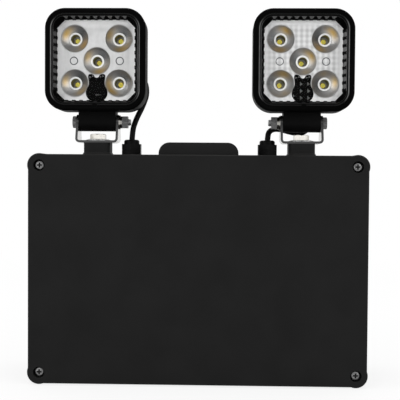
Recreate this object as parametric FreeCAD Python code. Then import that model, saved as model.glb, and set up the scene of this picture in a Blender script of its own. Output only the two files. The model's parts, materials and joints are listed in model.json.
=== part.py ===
import FreeCAD, Part

import math
import os

# Twin-head emergency light. Millimetres. The wall is the plane y = 0, the front faces -y,
# +x is to the right seen from the front and +z is up. The origin is the centre of the back face.

Vector = FreeCAD.Vector
X_AXIS = Vector(1, 0, 0)
Y_AXIS = Vector(0, 1, 0)
Z_AXIS = Vector(0, 0, 1)
SIDES = {"left": -1, "right": 1}

# Enclosure
box_width = 280.0
box_height = 190.0
box_depth = 90.0
cover_depth = 15.0
wall = 3.0
cover_face = 2.5
cover_edge_radius = 1.5
cover_screw_inset = 9.2
lobe_radius = 9.9
boss_radius = 7.0
gasket_thickness = 1.2
gasket_inset = 0.6
recess_radius = 4.8
recess_depth = 5.0

# Raised places on the top wall
raised_height = 10.7
pedestal_width = 22.6
pedestal_depth = 24.0
pedestal_corner = 5.0
pedestal_flare = 1.8
flare_height = 2.5
flare_knee = 0.8
flare_knee_height = 1.2
hump_width = 67.0
hump_depth = 46.0
hump_corner = 9.2
hump_wall = 3.5
entry_radius = 10.25

# Screw holes that hold the back to the wall
fixing_inset_x = 22.0
fixing_inset_z = 35.0
fixing_radius = 2.75

# Lamp places and the lamp bracket
lamp_x = 87.6
lamp_y = -50.0
strap_outer_width = 36.5
strap_thickness = 2.0
strap_depth = 22.0
strap_bend_radius = 3.5
strap_end_radius = 6.5
pivot_height = 17.9
turning_gap = 0.3
fit_gap = 0.1

# Metric fasteners: thread radius, across flats, head height, nut height and the thread past the nut
m4_radius = 2.0
m6_radius = 3.0
m6_flats = 10.0
m6_head = 3.6
m6_nut = 5.0
m6_end = 2.4
m8_radius = 4.0
m8_flats = 13.0
m8_head = 4.4
m8_nut = 6.5
m8_end = 2.0
hex_chamfer = 0.7
pan_radius = 4.2
pan_height = 2.5
pan_side = 1.2
pan_top_radius = 3.1
cross_width = 1.1
cross_length = 4.0
cross_depth = 1.3
cover_screw_length = 23.0
short_screw_length = 10.0
screw_end_gap = 2.0
flat_washer_radius = 6.0
flat_washer_thickness = 1.2
spring_washer_radius = 5.2
spring_washer_thickness = 1.5
spring_washer_split = 1.0
base_washer_radius = 11.0
base_washer_thickness = 1.2
base_washer_rim = 0.4
base_washer_flat = 8.8
inner_washer_radius = 8.0
inner_washer_thickness = 1.6

# Lamp head. Depths along y are counted from the pivot, towards the wall.
head_width = 85.0
head_height = 86.1
head_corner = 17.0
head_bottom = 8.5
lug_radius = 7.9
bezel_front = -22.0
bezel_back = -14.0
lens_back = -11.0
ledge = -9.9
reflector_front = -9.8
reflector_sheet = 1.2
dish_depth = 4.8
board_front = 7.9
housing_floor = 9.5
rim_back = 1.0
taper_back = 12.5
taper_inset = 5.0
fin_back = 20.0
fin_inset = 13.0
fin_count = 9
fin_pitch = 7.2
fin_thickness = 2.4
fin_clearance = 3.0
rim_wall = 2.2
skirt_wall = 1.5
skirt_back = -10.4
cavity_inset = 6.2
seal_overhang = 1.0

# Bezel face
bezel_round = 2.4
groove_inset = 4.3
groove_width = 0.7
groove_depth = 0.6
step_inset = 5.4
step_depth = 1.0
funnel_inset = 6.6
window_width = 66.5
window_height = 68.4
window_cut = 7.0
lip_thickness = 0.8
tooth_pitch = 6.2
tooth_width = 2.8
tooth_reach = 0.4
tooth_root = 2.0
tooth_height = 3.0
teeth_per_side = 9
bezel_plug_radius = 2.15
bezel_plug_height = 0.3

# Reflector and light sources
cup_spacing = 18.8
cup_radius = 11.2
cup_skin = 1.0
cup_rim = 0.3
collar_radius = 5.7
throat_radius = 3.9
mark_offset = 19.6
mark_radius = 3.15
mark_line = 0.5
mark_height = 0.4
led_size = 3.8
led_height = 0.4
chip_size = 2.8
chip_height = 0.4
led_board_thickness = 1.6
lead_hole_gap = 1.0

# Seal of the supply wires, at the bottom of the window. The outline is its right half, upwards.
boot_outline = [(5.4, 0.0), (8.6, 4.5), (8.4, 7.8), (6.3, 13.6), (7.0, 22.6), (4.6, 22.6), (2.6, 19.6)]
boot_thickness = 1.1
boot_spigot_width = 10.0
boot_spigot_height = 6.0
boot_spigot_rise = 6.0

# Lead into the back of each head
exit_height = 24.0
exit_boss_radius = 8.0
exit_boss_back = 13.0
relief_back = 20.0
relief_radius = 5.6
relief_tip_radius = 4.2
relief_collar = 2.1
cable_diameter = 4.8
cord_bend_share = 0.45

# Cable glands in the top wall
gland_offset = 29.1
gland_flats = 16.0
gland_thread_radius = 6.0
gland_flange = 4.6
gland_neck = 9.0
gland_hex_top = 9.8
gland_top = 13.6
gland_dome_radius = 6.6
gland_dome_round = 1.8
gland_cap_gap = 0.2
gland_stub = 11.0
gland_seal_radius = 5.4
gland_seal_height = 3.0
gland_nut_height = 4.0
cable_gap = 0.4

# Battery and what holds it
battery_width = 151.0
battery_depth = 65.0
battery_height = 94.0
battery_edge = 2.0
battery_rib = 2.0
battery_rib_width = 4.0
battery_lid_height = 10.0
battery_line = 1.0
battery_line_depth = 0.6
terminal_offset = 58.0
terminal_width = 6.3
terminal_thickness = 0.8
terminal_height = 7.0
terminal_setback = 21.7
band_width = 15.0
band_thickness = 1.2
band_gap = 0.3
band_foot = 16.0
band_boss_height = 9.0
post_radius = 5.0

# Control board and what stands on it
board_width = 144.0
board_height = 62.0
board_thickness = 1.6
board_corner = 2.0
board_top_gap = 16.0
board_post_height = 8.0
board_post_radius = 3.6
board_post_inset = 5.0
lamp_block_drop = 20.0
mains_block_x = 22.0
mains_block_gap = 1.0
block_height = 14.0
way_pitch = 7.0
well_radius = 2.3
well_depth = 4.6
transformer_x = -24.0
transformer_width = 44.0
transformer_height = 38.0
transformer_depth = 34.0
coil_width = 26.0
coil_overhang = 3.0
capacitor_x = 10.0
capacitor_radius = 6.5
capacitor_edge = 0.8
capacitor_length = 22.0
capacitor_pitch = 14.0
capacitor_count = 3
fuse_x = 36.0
fuse_drop = 52.0
fuse_radius = 3.0
fuse_length = 20.0
fuse_clip_offset = 8.0
wire_diameter = 2.6

# How far a cut runs past the face that it opens
overcut = 1.0
# How near an edge lies to the plane by which it is picked
edge_reach = 0.01

# Worked out from the sizes above
top_z = box_height / 2
back_rim_y = -(box_depth - cover_depth - gasket_thickness)
cover_rim_y = -(box_depth - cover_depth)
front_y = -box_depth
inner_top_z = top_z - wall
floor_z = wall - top_z
back_wall_y = -wall
pedestal_top = top_z + raised_height
pivot_z = pedestal_top + pivot_height
head_centre_z = head_bottom + head_height / 2
lug_width = strap_outer_width - 2 * strap_thickness - 2 * turning_gap
exit_point_z = pivot_z + exit_height
back_corner = head_corner - taper_inset / 2
window_low_z = head_centre_z - window_height / 2
lens_inset = rim_wall + skirt_wall + fit_gap
screw_places = []
for sign_x in (-1, 1):
    for sign_z in (-1, 1):
        screw_x = sign_x * (box_width / 2 - cover_screw_inset)
        screw_z = sign_z * (box_height / 2 - cover_screw_inset)
        screw_places.append((screw_x, screw_z))
cup_places = [(0.0, 0.0)]
for sign_x in (-1, 1):
    for sign_z in (-1, 1):
        cup_places.append((sign_x * cup_spacing, sign_z * cup_spacing))
board_y = back_wall_y - board_post_height
board_front_y = board_y - board_thickness
board_top_z = inner_top_z - board_top_gap
board_centre_z = board_top_z - board_height / 2
gland_x = lamp_x - gland_offset
lamp_block_z = board_top_z - lamp_block_drop
battery_top_z = floor_z + battery_height
battery_back_y = back_wall_y - battery_rib
battery_front_y = battery_back_y - battery_depth
terminal_y = battery_front_y + terminal_setback
band_z = floor_z + battery_height / 2
band_foot_y = back_wall_y - band_boss_height
band_screw_x = battery_width / 2 + band_gap + band_thickness + band_foot / 2


def block(x0, x1, y0, y1, z0, z1):
    return Part.makeBox(x1 - x0, y1 - y0, z1 - z0, Vector(x0, y0, z0))


def rod(radius, start, axis, length):
    return Part.makeCylinder(radius, length, start, axis)


def ring(outer_radius, inner_radius, start, axis, length):
    return rod(outer_radius, start, axis, length).cut(rod(inner_radius, start, axis, length))


def joined(shapes):
    return shapes[0].fuse(shapes[1:]).removeSplitter()


def rounded_wire(width, height, radius, y, centre_x=0.0, centre_z=0.0):
    """A rectangle with round corners, in a plane of constant y."""
    arcs = []
    for sign_x, sign_z, start in ((1, 1, 0), (-1, 1, 90), (-1, -1, 180), (1, -1, 270)):
        x = centre_x + sign_x * (width / 2 - radius)
        z = centre_z + sign_z * (height / 2 - radius)
        points = []
        for angle in (start, start + 45, start + 90):
            turn = math.radians(angle)
            points.append(Vector(x + radius * math.cos(turn), y, z + radius * math.sin(turn)))
        arcs.append(points)
    edges = []
    for index, points in enumerate(arcs):
        edges.append(Part.Arc(*points).toShape())
        edges.append(Part.LineSegment(points[2], arcs[(index + 1) % 4][0]).toShape())
    return Part.Wire(edges)


def cut_corner_wire(width, height, cut, y, centre_z=0.0):
    """A rectangle with its corners cut off at 45 degrees, in a plane of constant y."""
    w, h = width / 2, height / 2
    corners = [(w, h - cut), (w - cut, h), (cut - w, h), (-w, h - cut)]
    corners += [(-w, cut - h), (cut - w, -h), (w - cut, -h), (w, cut - h)]
    points = [Vector(x, y, centre_z + z) for x, z in corners]
    return Part.makePolygon(points + points[:1])


def plate(width, height, radius, y0, y1, centre_x=0.0, centre_z=0.0):
    wire = rounded_wire(width, height, radius, y0, centre_x, centre_z)
    return Part.Face(wire).extrude(Vector(0, y1 - y0, 0))


def head_plate(inset, y0, y1):
    """A plate with the outline of a lamp head, drawn in by an inset."""
    return plate(head_width - 2 * inset, head_height - 2 * inset, head_corner - inset, y0, y1,
                 centre_z=head_centre_z)


def head_outline(inset, radius, y):
    width = head_width - 2 * inset
    height = head_height - 2 * inset
    return rounded_wire(width, height, radius, y, centre_z=head_centre_z)


def revolved(profile, centre, axis):
    """Turns a closed outline of (radius, height) points about an axis through a centre."""
    side = Y_AXIS if abs(axis.x) > 0.5 else X_AXIS
    points = [centre + side * radius + axis * height for radius, height in profile]
    face = Part.Face(Part.makePolygon(points + points[:1]))
    return face.revolve(centre, axis, 360)


def hexagon(flats, start, axis, length):
    """A six-sided bar with two corners on the line across its axis."""
    corner = flats / math.sqrt(3)
    across = Y_AXIS
    up = axis.cross(across)
    points = []
    for index in range(6):
        turn = math.radians(60 * index)
        points.append(start + across * (corner * math.cos(turn)) + up * (corner * math.sin(turn)))
    return Part.Face(Part.makePolygon(points + points[:1])).extrude(axis * length)


def edges_where(shape, test):
    return [edge for edge in shape.Edges if test(edge)]


def bolt(radius, flats, head, length, seat, axis):
    """A hexagon bolt: its head stands on the seat along the axis and its shank runs the other way."""
    corner = flats / math.sqrt(3)
    flat_radius = flats / 2 - hex_chamfer / 2
    profile = [(0, 0), (corner, 0), (corner, head - hex_chamfer), (flat_radius, head), (0, head)]
    crown = revolved(profile, seat, axis)
    shank = rod(radius, seat - axis * length, axis, length)
    return hexagon(flats, seat, axis, head).common(crown).fuse(shank).removeSplitter()


def nut(radius, flats, height, start, axis):
    return hexagon(flats, start, axis, height).cut(rod(radius + fit_gap / 2, start, axis, height))


def pan_screw(length, seat, axis):
    """A pan-head screw with a cross slot. The head stands on the seat along the axis, which is -y."""
    head = revolved([(0, 0), (pan_radius, 0), (pan_radius, pan_side), (pan_top_radius, pan_height),
                     (0, pan_height)], seat, axis)
    top = seat + axis * pan_height
    for wide, high in ((cross_length, cross_width), (cross_width, cross_length)):
        corner = Vector(top.x - wide / 2, top.y, top.z - high / 2)
        head = head.cut(Part.makeBox(wide, cross_depth, high, corner))
    return head.fuse(rod(m4_radius, seat - axis * length, axis, length)).removeSplitter()


def outline_solid(inset, y0, y1):
    """The enclosure's outline: a rounded rectangle with a round lobe about each cover screw."""
    shape = plate(box_width - 2 * inset, box_height - 2 * inset, cover_screw_inset - inset, y0, y1)
    lobes = [rod(lobe_radius - inset, Vector(x, y0, z), Y_AXIS, y1 - y0) for x, z in screw_places]
    return joined([shape] + lobes)


def hollow_solid(y0, y1):
    """The room inside the walls, clear of the round bosses at the cover screws."""
    shape = plate(box_width - 2 * wall, box_height - 2 * wall, cover_screw_inset - wall, y0, y1)
    bosses = [rod(boss_radius, Vector(x, y0, z), Y_AXIS, y1 - y0) for x, z in screw_places]
    return shape.cut(bosses[0].fuse(bosses[1:]))


def pedestal(x):
    """A block on the top wall that carries one lamp bracket, flared where it meets the wall."""
    base = rounded_wire(pedestal_width, pedestal_depth, pedestal_corner, 0.0)
    solid = Part.Face(base).extrude(Vector(0, raised_height + wall, 0))
    outlines = []
    for grow, rise in ((pedestal_flare, 0.0), (flare_knee, flare_knee_height), (0.0, flare_height)):
        wide = pedestal_width + 2 * grow
        deep = pedestal_depth + 2 * grow
        outlines.append(rounded_wire(wide, deep, pedestal_corner + grow, wall + rise))
    for low, high in zip(outlines, outlines[1:]):
        solid = solid.fuse(Part.makeLoft([low, high], True, True))
    solid.rotate(Vector(), X_AXIS, 90)
    solid.translate(Vector(x, lamp_y, inner_top_z))
    return solid


def entry_hump():
    """The raised, hollow place in the middle of the top wall, with the supply entry in its flat top."""
    height = raised_height + wall
    front = lamp_y - hump_depth / 2
    outer = Part.makeBox(hump_width, hump_depth, height, Vector(-hump_width / 2, front, inner_top_z))
    top = inner_top_z + height - edge_reach
    corners = edges_where(outer, lambda e: e.BoundBox.ZMin > top and e.BoundBox.YLength > wall)
    outer = outer.makeFillet(hump_corner, corners)
    inner_half = hump_width / 2 - hump_wall
    room = block(-inner_half, inner_half, front + hump_wall, front + hump_depth - hump_wall,
                 inner_top_z, inner_top_z + height - hump_wall)
    return outer, room


def back_box():
    shell = outline_solid(0.0, back_rim_y, 0.0).cut(hollow_solid(back_rim_y - overcut, back_wall_y))
    hump, hump_room = entry_hump()
    shell = shell.fuse([hump, pedestal(-lamp_x), pedestal(lamp_x)])
    entry_start = Vector(0, lamp_y, inner_top_z)
    cuts = [hump_room, rod(entry_radius, entry_start, Z_AXIS, 2 * raised_height)]
    for sign in SIDES.values():
        bolt_start = Vector(sign * lamp_x, lamp_y, inner_top_z - overcut)
        cuts.append(rod(m8_radius + fit_gap, bolt_start, Z_AXIS, 2 * raised_height))
        gland_start = Vector(sign * gland_x, lamp_y, inner_top_z - overcut)
        cuts.append(rod(gland_thread_radius + fit_gap, gland_start, Z_AXIS, 2 * wall))
        for sign_z in (-1, 1):
            x = sign * (box_width / 2 - fixing_inset_x)
            z = sign_z * (box_height / 2 - fixing_inset_z)
            cuts.append(rod(fixing_radius, Vector(x, back_wall_y - overcut, z), Y_AXIS, 2 * wall))
    for x, z in screw_places:
        cuts.append(rod(m4_radius, Vector(x, back_rim_y - overcut, z), Y_AXIS, cover_screw_length))
    posts = []
    for x, z in board_post_places():
        posts.append(rod(board_post_radius, Vector(x, board_y, z), Y_AXIS, board_post_height))
        cuts.append(rod(m4_radius, Vector(x, board_y - overcut, z), Y_AXIS, board_post_height))
    for sign in SIDES.values():
        start = Vector(sign * band_screw_x, band_foot_y, band_z)
        posts.append(rod(post_radius, start, Y_AXIS, band_boss_height))
        cuts.append(rod(m4_radius, start, Y_AXIS, band_boss_height))
        rib_x0 = sign * battery_width / 4 - battery_rib_width / 2
        rib_x1 = rib_x0 + battery_rib_width
        posts.append(block(rib_x0, rib_x1, battery_back_y, back_wall_y, floor_z, battery_top_z))
    return shell.fuse(posts).cut(cuts).removeSplitter()


def board_post_places():
    places = []
    for sign_x in (-1, 1):
        for sign_z in (-1, 1):
            x = sign_x * (board_width / 2 - board_post_inset)
            places.append((x, board_centre_z + sign_z * (board_height / 2 - board_post_inset)))
    return places


def front_cover():
    solid = outline_solid(0.0, front_y, cover_rim_y)
    front_edges = edges_where(solid, lambda e: e.BoundBox.YMax < front_y + edge_reach)
    solid = solid.makeFillet(cover_edge_radius, front_edges)
    solid = solid.cut(hollow_solid(front_y + cover_face, cover_rim_y + overcut))
    holes = []
    for x, z in screw_places:
        holes.append(rod(recess_radius, Vector(x, front_y - overcut, z), Y_AXIS, recess_depth + overcut))
        holes.append(rod(m4_radius + fit_gap, Vector(x, front_y, z), Y_AXIS, cover_depth + overcut))
    return solid.cut(holes)


def cover_gasket():
    seal = outline_solid(gasket_inset, cover_rim_y, back_rim_y)
    seal = seal.cut(hollow_solid(cover_rim_y - overcut, back_rim_y + overcut))
    holes = []
    for x, z in screw_places:
        holes.append(rod(m4_radius + fit_gap, Vector(x, cover_rim_y, z), Y_AXIS, 2 * gasket_thickness))
    return seal.cut(holes)


def cover_screws():
    seat_y = front_y + recess_depth
    return [pan_screw(cover_screw_length, Vector(x, seat_y, z), -Y_AXIS) for x, z in screw_places]


def battery():
    corner = Vector(-battery_width / 2, battery_front_y, floor_z)
    body = Part.makeBox(battery_width, battery_depth, battery_height, corner)
    upright = edges_where(body, lambda e: e.BoundBox.ZLength > battery_edge)
    body = body.makeFillet(battery_edge, upright)
    half = battery_width / 2 - battery_line_depth
    core_front = battery_front_y + battery_line_depth
    core = block(-half, half, core_front, battery_back_y - battery_line_depth, floor_z, battery_top_z)
    line_z = battery_top_z - battery_lid_height
    band = block(-battery_width, battery_width, -box_depth, 0, line_z, line_z + battery_line)
    return body.cut(band.cut(core))


def battery_terminals():
    tabs = []
    for sign in SIDES.values():
        shapes = []
        x0 = sign * terminal_offset - terminal_width / 2
        for thick, high in ((terminal_width, terminal_thickness), (terminal_thickness, terminal_height)):
            corner = Vector(x0, terminal_y - thick / 2, battery_top_z)
            shapes.append(Part.makeBox(terminal_width, thick, high, corner))
        tabs.append(joined(shapes))
    return tabs


def battery_band():
    """A bent steel band round the battery's front, with a foot on a post at each end."""
    inner_half = battery_width / 2 + band_gap
    outer_half = inner_half + band_thickness
    z0 = band_z - band_width / 2
    z1 = band_z + band_width / 2
    inner_front = battery_front_y - band_gap
    shapes = []
    for half, front, bend in ((outer_half, inner_front - band_thickness, 2 * band_thickness),
                              (inner_half, inner_front, band_thickness)):
        shape = block(-half, half, front, band_foot_y, z0, z1)
        bends = edges_where(shape, lambda e: e.BoundBox.ZLength > band_width / 2
                            and e.BoundBox.YMax < front + edge_reach)
        shapes.append(shape.makeFillet(bend, bends))
    band = shapes[0].cut(shapes[1])
    foot_y = band_foot_y - band_thickness
    for sign in SIDES.values():
        ends = sorted((sign * inner_half, sign * (outer_half + band_foot)))
        foot = block(ends[0], ends[1], foot_y, band_foot_y, z0, z1)
        hole = rod(m4_radius + fit_gap, Vector(sign * band_screw_x, foot_y, band_z), Y_AXIS, band_thickness)
        band = band.fuse(foot).cut(hole)
    return band.removeSplitter()


def inner_screws():
    """The screws that hold the control board and the battery band."""
    screws = []
    board_screw_length = board_thickness + board_post_height - screw_end_gap
    for x, z in board_post_places():
        screws.append(pan_screw(board_screw_length, Vector(x, board_front_y, z), -Y_AXIS))
    for sign in SIDES.values():
        seat = Vector(sign * band_screw_x, band_foot_y - band_thickness, band_z)
        screws.append(pan_screw(short_screw_length, seat, -Y_AXIS))
    return screws


def control_board():
    board = plate(board_width, board_height, board_corner, board_front_y, board_y, centre_z=board_centre_z)
    holes = [rod(m4_radius + fit_gap, Vector(x, board_front_y, z), Y_AXIS, board_thickness)
             for x, z in board_post_places()]
    return board.cut(holes)


def on_board(x, z, width, height, depth):
    """A block that stands on the board's front, about a point of it."""
    corner = Vector(x - width / 2, board_front_y - depth, z - height / 2)
    return Part.makeBox(width, depth, height, corner)


def transformer():
    z = board_centre_z
    core = on_board(transformer_x, z, transformer_width, transformer_height, transformer_depth)
    coil_height = transformer_height + 2 * coil_overhang
    coil = on_board(transformer_x, z, coil_width, coil_height, transformer_depth - coil_overhang)
    coil = coil.makeFillet(coil_overhang, edges_where(coil, lambda e: e.BoundBox.YLength > coil_overhang))
    return joined([core, coil])


def capacitors():
    cans = []
    for index in range(capacitor_count):
        x = capacitor_x + index * capacitor_pitch
        start = Vector(x, board_front_y - capacitor_length, board_centre_z)
        can = rod(capacitor_radius, start, Y_AXIS, capacitor_length)
        rim = edges_where(can, lambda e: e.BoundBox.YMax < start.y + edge_reach)
        cans.append(can.makeFillet(capacitor_edge, rim))
    return cans


def fuse_holder():
    z = board_top_z - fuse_drop
    height = 2 * fuse_radius
    clips = [on_board(fuse_x + sign * fuse_clip_offset, z, height, height, height) for sign in (-1, 1)]
    glass_start = Vector(fuse_x - fuse_length / 2, board_front_y - height, z)
    glass = rod(fuse_radius, glass_start, X_AXIS, fuse_length)
    return joined(clips + [glass])


def terminal_block(x, z, ways):
    """A screw terminal block with a screw well in the face of each way."""
    body = on_board(x, z, ways * way_pitch, 2 * way_pitch, block_height)
    cuts = []
    for index in range(ways):
        centre_x = x + (index - (ways - 1) / 2) * way_pitch
        well = Vector(centre_x, board_front_y - block_height, z + way_pitch / 2)
        cuts.append(rod(well_radius, well, Y_AXIS, well_depth))
    return body.cut(cuts)


def mains_terminals():
    return terminal_block(mains_block_x, board_top_z - way_pitch - mains_block_gap, 3)


def lamp_terminals():
    return [terminal_block(sign * gland_x, lamp_block_z, 2) for sign in SIDES.values()]


def gland_body(x):
    """The fixed half of a cable gland: thread through the wall, flange outside and a neck for the cap."""
    bottom = Vector(x, lamp_y, inner_top_z - gland_stub)
    stub = rod(gland_thread_radius, bottom, Z_AXIS, gland_stub + wall + gland_neck)
    flange = hexagon(gland_flats, Vector(x, lamp_y, top_z), Z_AXIS, gland_flange)
    bore = rod(cable_diameter / 2 + cable_gap, bottom, Z_AXIS, 2 * (gland_stub + gland_neck))
    return stub.fuse(flange).cut(bore).removeSplitter()


def gland_cap(x):
    """The domed hexagon nut of a gland, hollow over the neck and the seal."""
    base = Vector(x, lamp_y, top_z)
    low = gland_flange + gland_cap_gap
    dome = rod(gland_dome_radius, base + Z_AXIS * low, Z_AXIS, gland_top - low)
    dome_top = top_z + gland_top - edge_reach
    dome = dome.makeFillet(gland_dome_round, edges_where(dome, lambda e: e.BoundBox.ZMin > dome_top))
    skirt = hexagon(gland_flats, base + Z_AXIS * low, Z_AXIS, gland_hex_top - low)
    neck_room = rod(gland_thread_radius + fit_gap, base + Z_AXIS * low, Z_AXIS, gland_neck - low)
    seal_room = rod(gland_seal_radius, base + Z_AXIS * low, Z_AXIS, gland_neck + gland_seal_height - low)
    hole = rod(cable_diameter / 2 + cable_gap, base, Z_AXIS, 2 * gland_top)
    return dome.fuse(skirt).cut([neck_room, seal_room, hole]).removeSplitter()


def gland_seal(x):
    start = Vector(x, lamp_y, top_z + gland_neck)
    return ring(gland_seal_radius, cable_diameter / 2, start, Z_AXIS, gland_seal_height)


def gland_locknut(x):
    start = Vector(x, lamp_y, inner_top_z - gland_nut_height)
    return nut(gland_thread_radius, gland_flats, gland_nut_height, start, Z_AXIS)


def bracket():
    """A strap bent into a U, its ends rounded about the pivot.

    The origin is where the pan axis meets the strap's underside.
    """
    half = strap_outer_width / 2
    top = pivot_height + strap_end_radius
    outer = block(-half, half, -strap_depth / 2, strap_depth / 2, 0, top)
    outer_bends = edges_where(outer, lambda e: e.BoundBox.YLength > strap_thickness
                              and e.BoundBox.ZMax < edge_reach)
    outer = outer.makeFillet(strap_bend_radius, outer_bends)
    inner_half = half - strap_thickness
    inner = block(-inner_half, inner_half, -strap_depth / 2, strap_depth / 2, strap_thickness, top)
    inner_bends = edges_where(inner, lambda e: e.BoundBox.YLength > strap_thickness
                              and e.BoundBox.ZMax < strap_thickness + edge_reach)
    inner = inner.makeFillet(strap_bend_radius - strap_thickness, inner_bends)
    low_half = strap_depth / 2
    shoulder = strap_bend_radius
    side = [Vector(-half, -low_half, 0), Vector(-half, -low_half, shoulder)]
    side += [Vector(-half, -strap_end_radius, pivot_height), Vector(-half, strap_end_radius, pivot_height)]
    side += [Vector(-half, low_half, shoulder), Vector(-half, low_half, 0)]
    flank = Part.Face(Part.makePolygon(side + side[:1])).extrude(X_AXIS * strap_outer_width)
    ends = rod(strap_end_radius, Vector(-half, 0, pivot_height), X_AXIS, strap_outer_width)
    strap = outer.cut(inner).common(flank.fuse(ends))
    base_hole = rod(m8_radius + turning_gap, Vector(), Z_AXIS, strap_thickness)
    pivot_hole = rod(m6_radius + fit_gap, Vector(-half, 0, pivot_height), X_AXIS, strap_outer_width)
    return strap.cut([base_hole, pivot_hole]).removeSplitter()


def base_washer():
    """The wide washer under the base bolt, with a sloped edge."""
    bore = m8_radius + fit_gap
    profile = [(bore, 0), (base_washer_radius, 0), (base_washer_radius, base_washer_rim),
               (base_washer_flat, base_washer_thickness), (bore, base_washer_thickness)]
    return revolved(profile, Vector(0, 0, strap_thickness), Z_AXIS)


def base_bolt():
    seat = strap_thickness + base_washer_thickness
    length = seat + raised_height + wall + inner_washer_thickness + m8_nut + m8_end
    return bolt(m8_radius, m8_flats, m8_head, length, Vector(0, 0, seat), Z_AXIS)


def base_nut():
    """The washer and the nut inside the box."""
    under = -(raised_height + wall)
    washer_start = Vector(0, 0, under - inner_washer_thickness)
    washer = ring(inner_washer_radius, m8_radius + fit_gap, washer_start, Z_AXIS, inner_washer_thickness)
    nut_start = washer_start - Z_AXIS * m8_nut
    return [washer, nut(m8_radius, m8_flats, m8_nut, nut_start, Z_AXIS)]


def pivot_bolt(side):
    """The bolt through the strap's ends. Its head is on the lamp's outer side."""
    stack = flat_washer_thickness + spring_washer_thickness + m6_nut + m6_end
    seat = Vector(side * strap_outer_width / 2, 0, 0)
    return bolt(m6_radius, m6_flats, m6_head, strap_outer_width + stack, seat, X_AXIS * side)


def pivot_washers(side):
    """The flat washer and the split spring washer under the pivot nut."""
    inward = X_AXIS * -side
    start = inward * (strap_outer_width / 2)
    flat = ring(flat_washer_radius, m6_radius + fit_gap, start, inward, flat_washer_thickness)
    start = start + inward * flat_washer_thickness
    spring = ring(spring_washer_radius, m6_radius + fit_gap, start, inward, spring_washer_thickness)
    corner = Vector(-strap_outer_width, -spring_washer_split / 2, 0)
    split = Part.makeBox(2 * strap_outer_width, spring_washer_split, 2 * spring_washer_radius, corner)
    return [flat, spring.cut(split)]


def pivot_nut(side):
    inward = X_AXIS * -side
    start = inward * (strap_outer_width / 2 + flat_washer_thickness + spring_washer_thickness)
    return nut(m6_radius, m6_flats, m6_nut, start, inward)


def cooling_fins():
    """Upright fins on the back of a head, drawn in towards their tips."""
    root = taper_back - overcut
    taper = Part.makeLoft([head_outline(taper_inset, back_corner, root),
                           head_outline(fin_inset, back_corner, fin_back)], True, True)
    blades = []
    for index in range(fin_count):
        x0 = (index - (fin_count - 1) / 2) * fin_pitch - fin_thickness / 2
        blades.append(block(x0, x0 + fin_thickness, root, fin_back, 0, 2 * head_height))
    clear = rod(exit_boss_radius + fin_clearance, Vector(0, taper_back, exit_height), Y_AXIS, fin_back)
    return [blade.common(taper).cut(clear) for blade in blades]


def head_housing():
    """The cast body of a lamp head: rim, tapered back, fins, lead boss and the lug on the pivot bolt."""
    rim = head_plate(0.0, bezel_back, rim_back)
    taper = Part.makeLoft([head_outline(0.0, head_corner, rim_back),
                           head_outline(taper_inset, back_corner, taper_back)], True, True)
    half = lug_width / 2
    lug = rod(lug_radius, Vector(-half, 0, 0), X_AXIS, lug_width)
    neck = block(-half, half, -lug_radius, lug_radius, 0, head_bottom + taper_inset)
    boss_start = Vector(0, taper_back - overcut, exit_height)
    boss = rod(exit_boss_radius, boss_start, Y_AXIS, exit_boss_back - taper_back + overcut)
    solid = rim.fuse([taper, lug, neck, boss] + cooling_fins())
    skirt_room = head_plate(rim_wall - fit_gap, bezel_back, ledge)
    room = head_plate(cavity_inset, ledge - overcut, housing_floor)
    pivot_hole = rod(m6_radius + turning_gap, Vector(-lug_width, 0, 0), X_AXIS, 2 * lug_width)
    lead_hole = rod(cable_diameter / 2, Vector(0, 0, exit_height), Y_AXIS, fin_back)
    return solid.cut([skirt_room, room, pivot_hole, lead_hole]).removeSplitter()


def bezel_teeth():
    """Small teeth along the window's four sides, which stand on the slope and reach into the window."""
    teeth = []
    front = bezel_back - tooth_height
    length = tooth_reach + tooth_root
    for index in range(teeth_per_side):
        along = (index - (teeth_per_side - 1) / 2) * tooth_pitch - tooth_width / 2
        for start in (-window_width / 2 - tooth_root, window_width / 2 - tooth_reach):
            corner = Vector(start, front, head_centre_z + along)
            teeth.append(Part.makeBox(length, tooth_height, tooth_width, corner))
        for start in (-window_height / 2 - tooth_root, window_height / 2 - tooth_reach):
            corner = Vector(along, front, head_centre_z + start)
            teeth.append(Part.makeBox(tooth_width, tooth_height, length, corner))
    return teeth


def bezel():
    """The front ring: round outer edge, fine groove, step, toothed slope and a skirt in the rim."""
    solid = head_plate(0.0, bezel_front, bezel_back)
    front_edges = edges_where(solid, lambda e: e.BoundBox.YMax < bezel_front + edge_reach)
    solid = solid.makeFillet(bezel_round, front_edges)
    cut_front = bezel_front - overcut
    groove = head_plate(groove_inset, cut_front, bezel_front + groove_depth)
    groove = groove.cut(head_plate(groove_inset + groove_width, cut_front, bezel_front + groove_depth))
    step_y = bezel_front + step_depth
    step = head_plate(step_inset, cut_front, step_y)
    lip_y = bezel_back - lip_thickness
    slope_start = head_outline(funnel_inset, head_corner - funnel_inset, step_y)
    window = cut_corner_wire(window_width, window_height, window_cut, lip_y, head_centre_z)
    funnel = Part.makeLoft([slope_start, window], True, True)
    opening = Part.Face(window).extrude(Vector(0, lip_thickness + overcut, 0))
    skirt = head_plate(rim_wall, bezel_back, skirt_back)
    skirt = skirt.cut(head_plate(rim_wall + skirt_wall, bezel_back, skirt_back))
    plug_start = Vector(0, bezel_front - bezel_plug_height, head_bottom + groove_inset)
    plug = rod(bezel_plug_radius, plug_start, Y_AXIS, bezel_plug_height + step_depth)
    return solid.cut([groove, step, funnel, opening]).fuse(bezel_teeth() + [skirt, plug]).removeSplitter()


def lens():
    return head_plate(lens_inset, bezel_back, lens_back)


def lens_seal():
    outer = head_plate(lens_inset, lens_back, ledge)
    return outer.cut(head_plate(cavity_inset + seal_overhang, lens_back, ledge))


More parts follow.
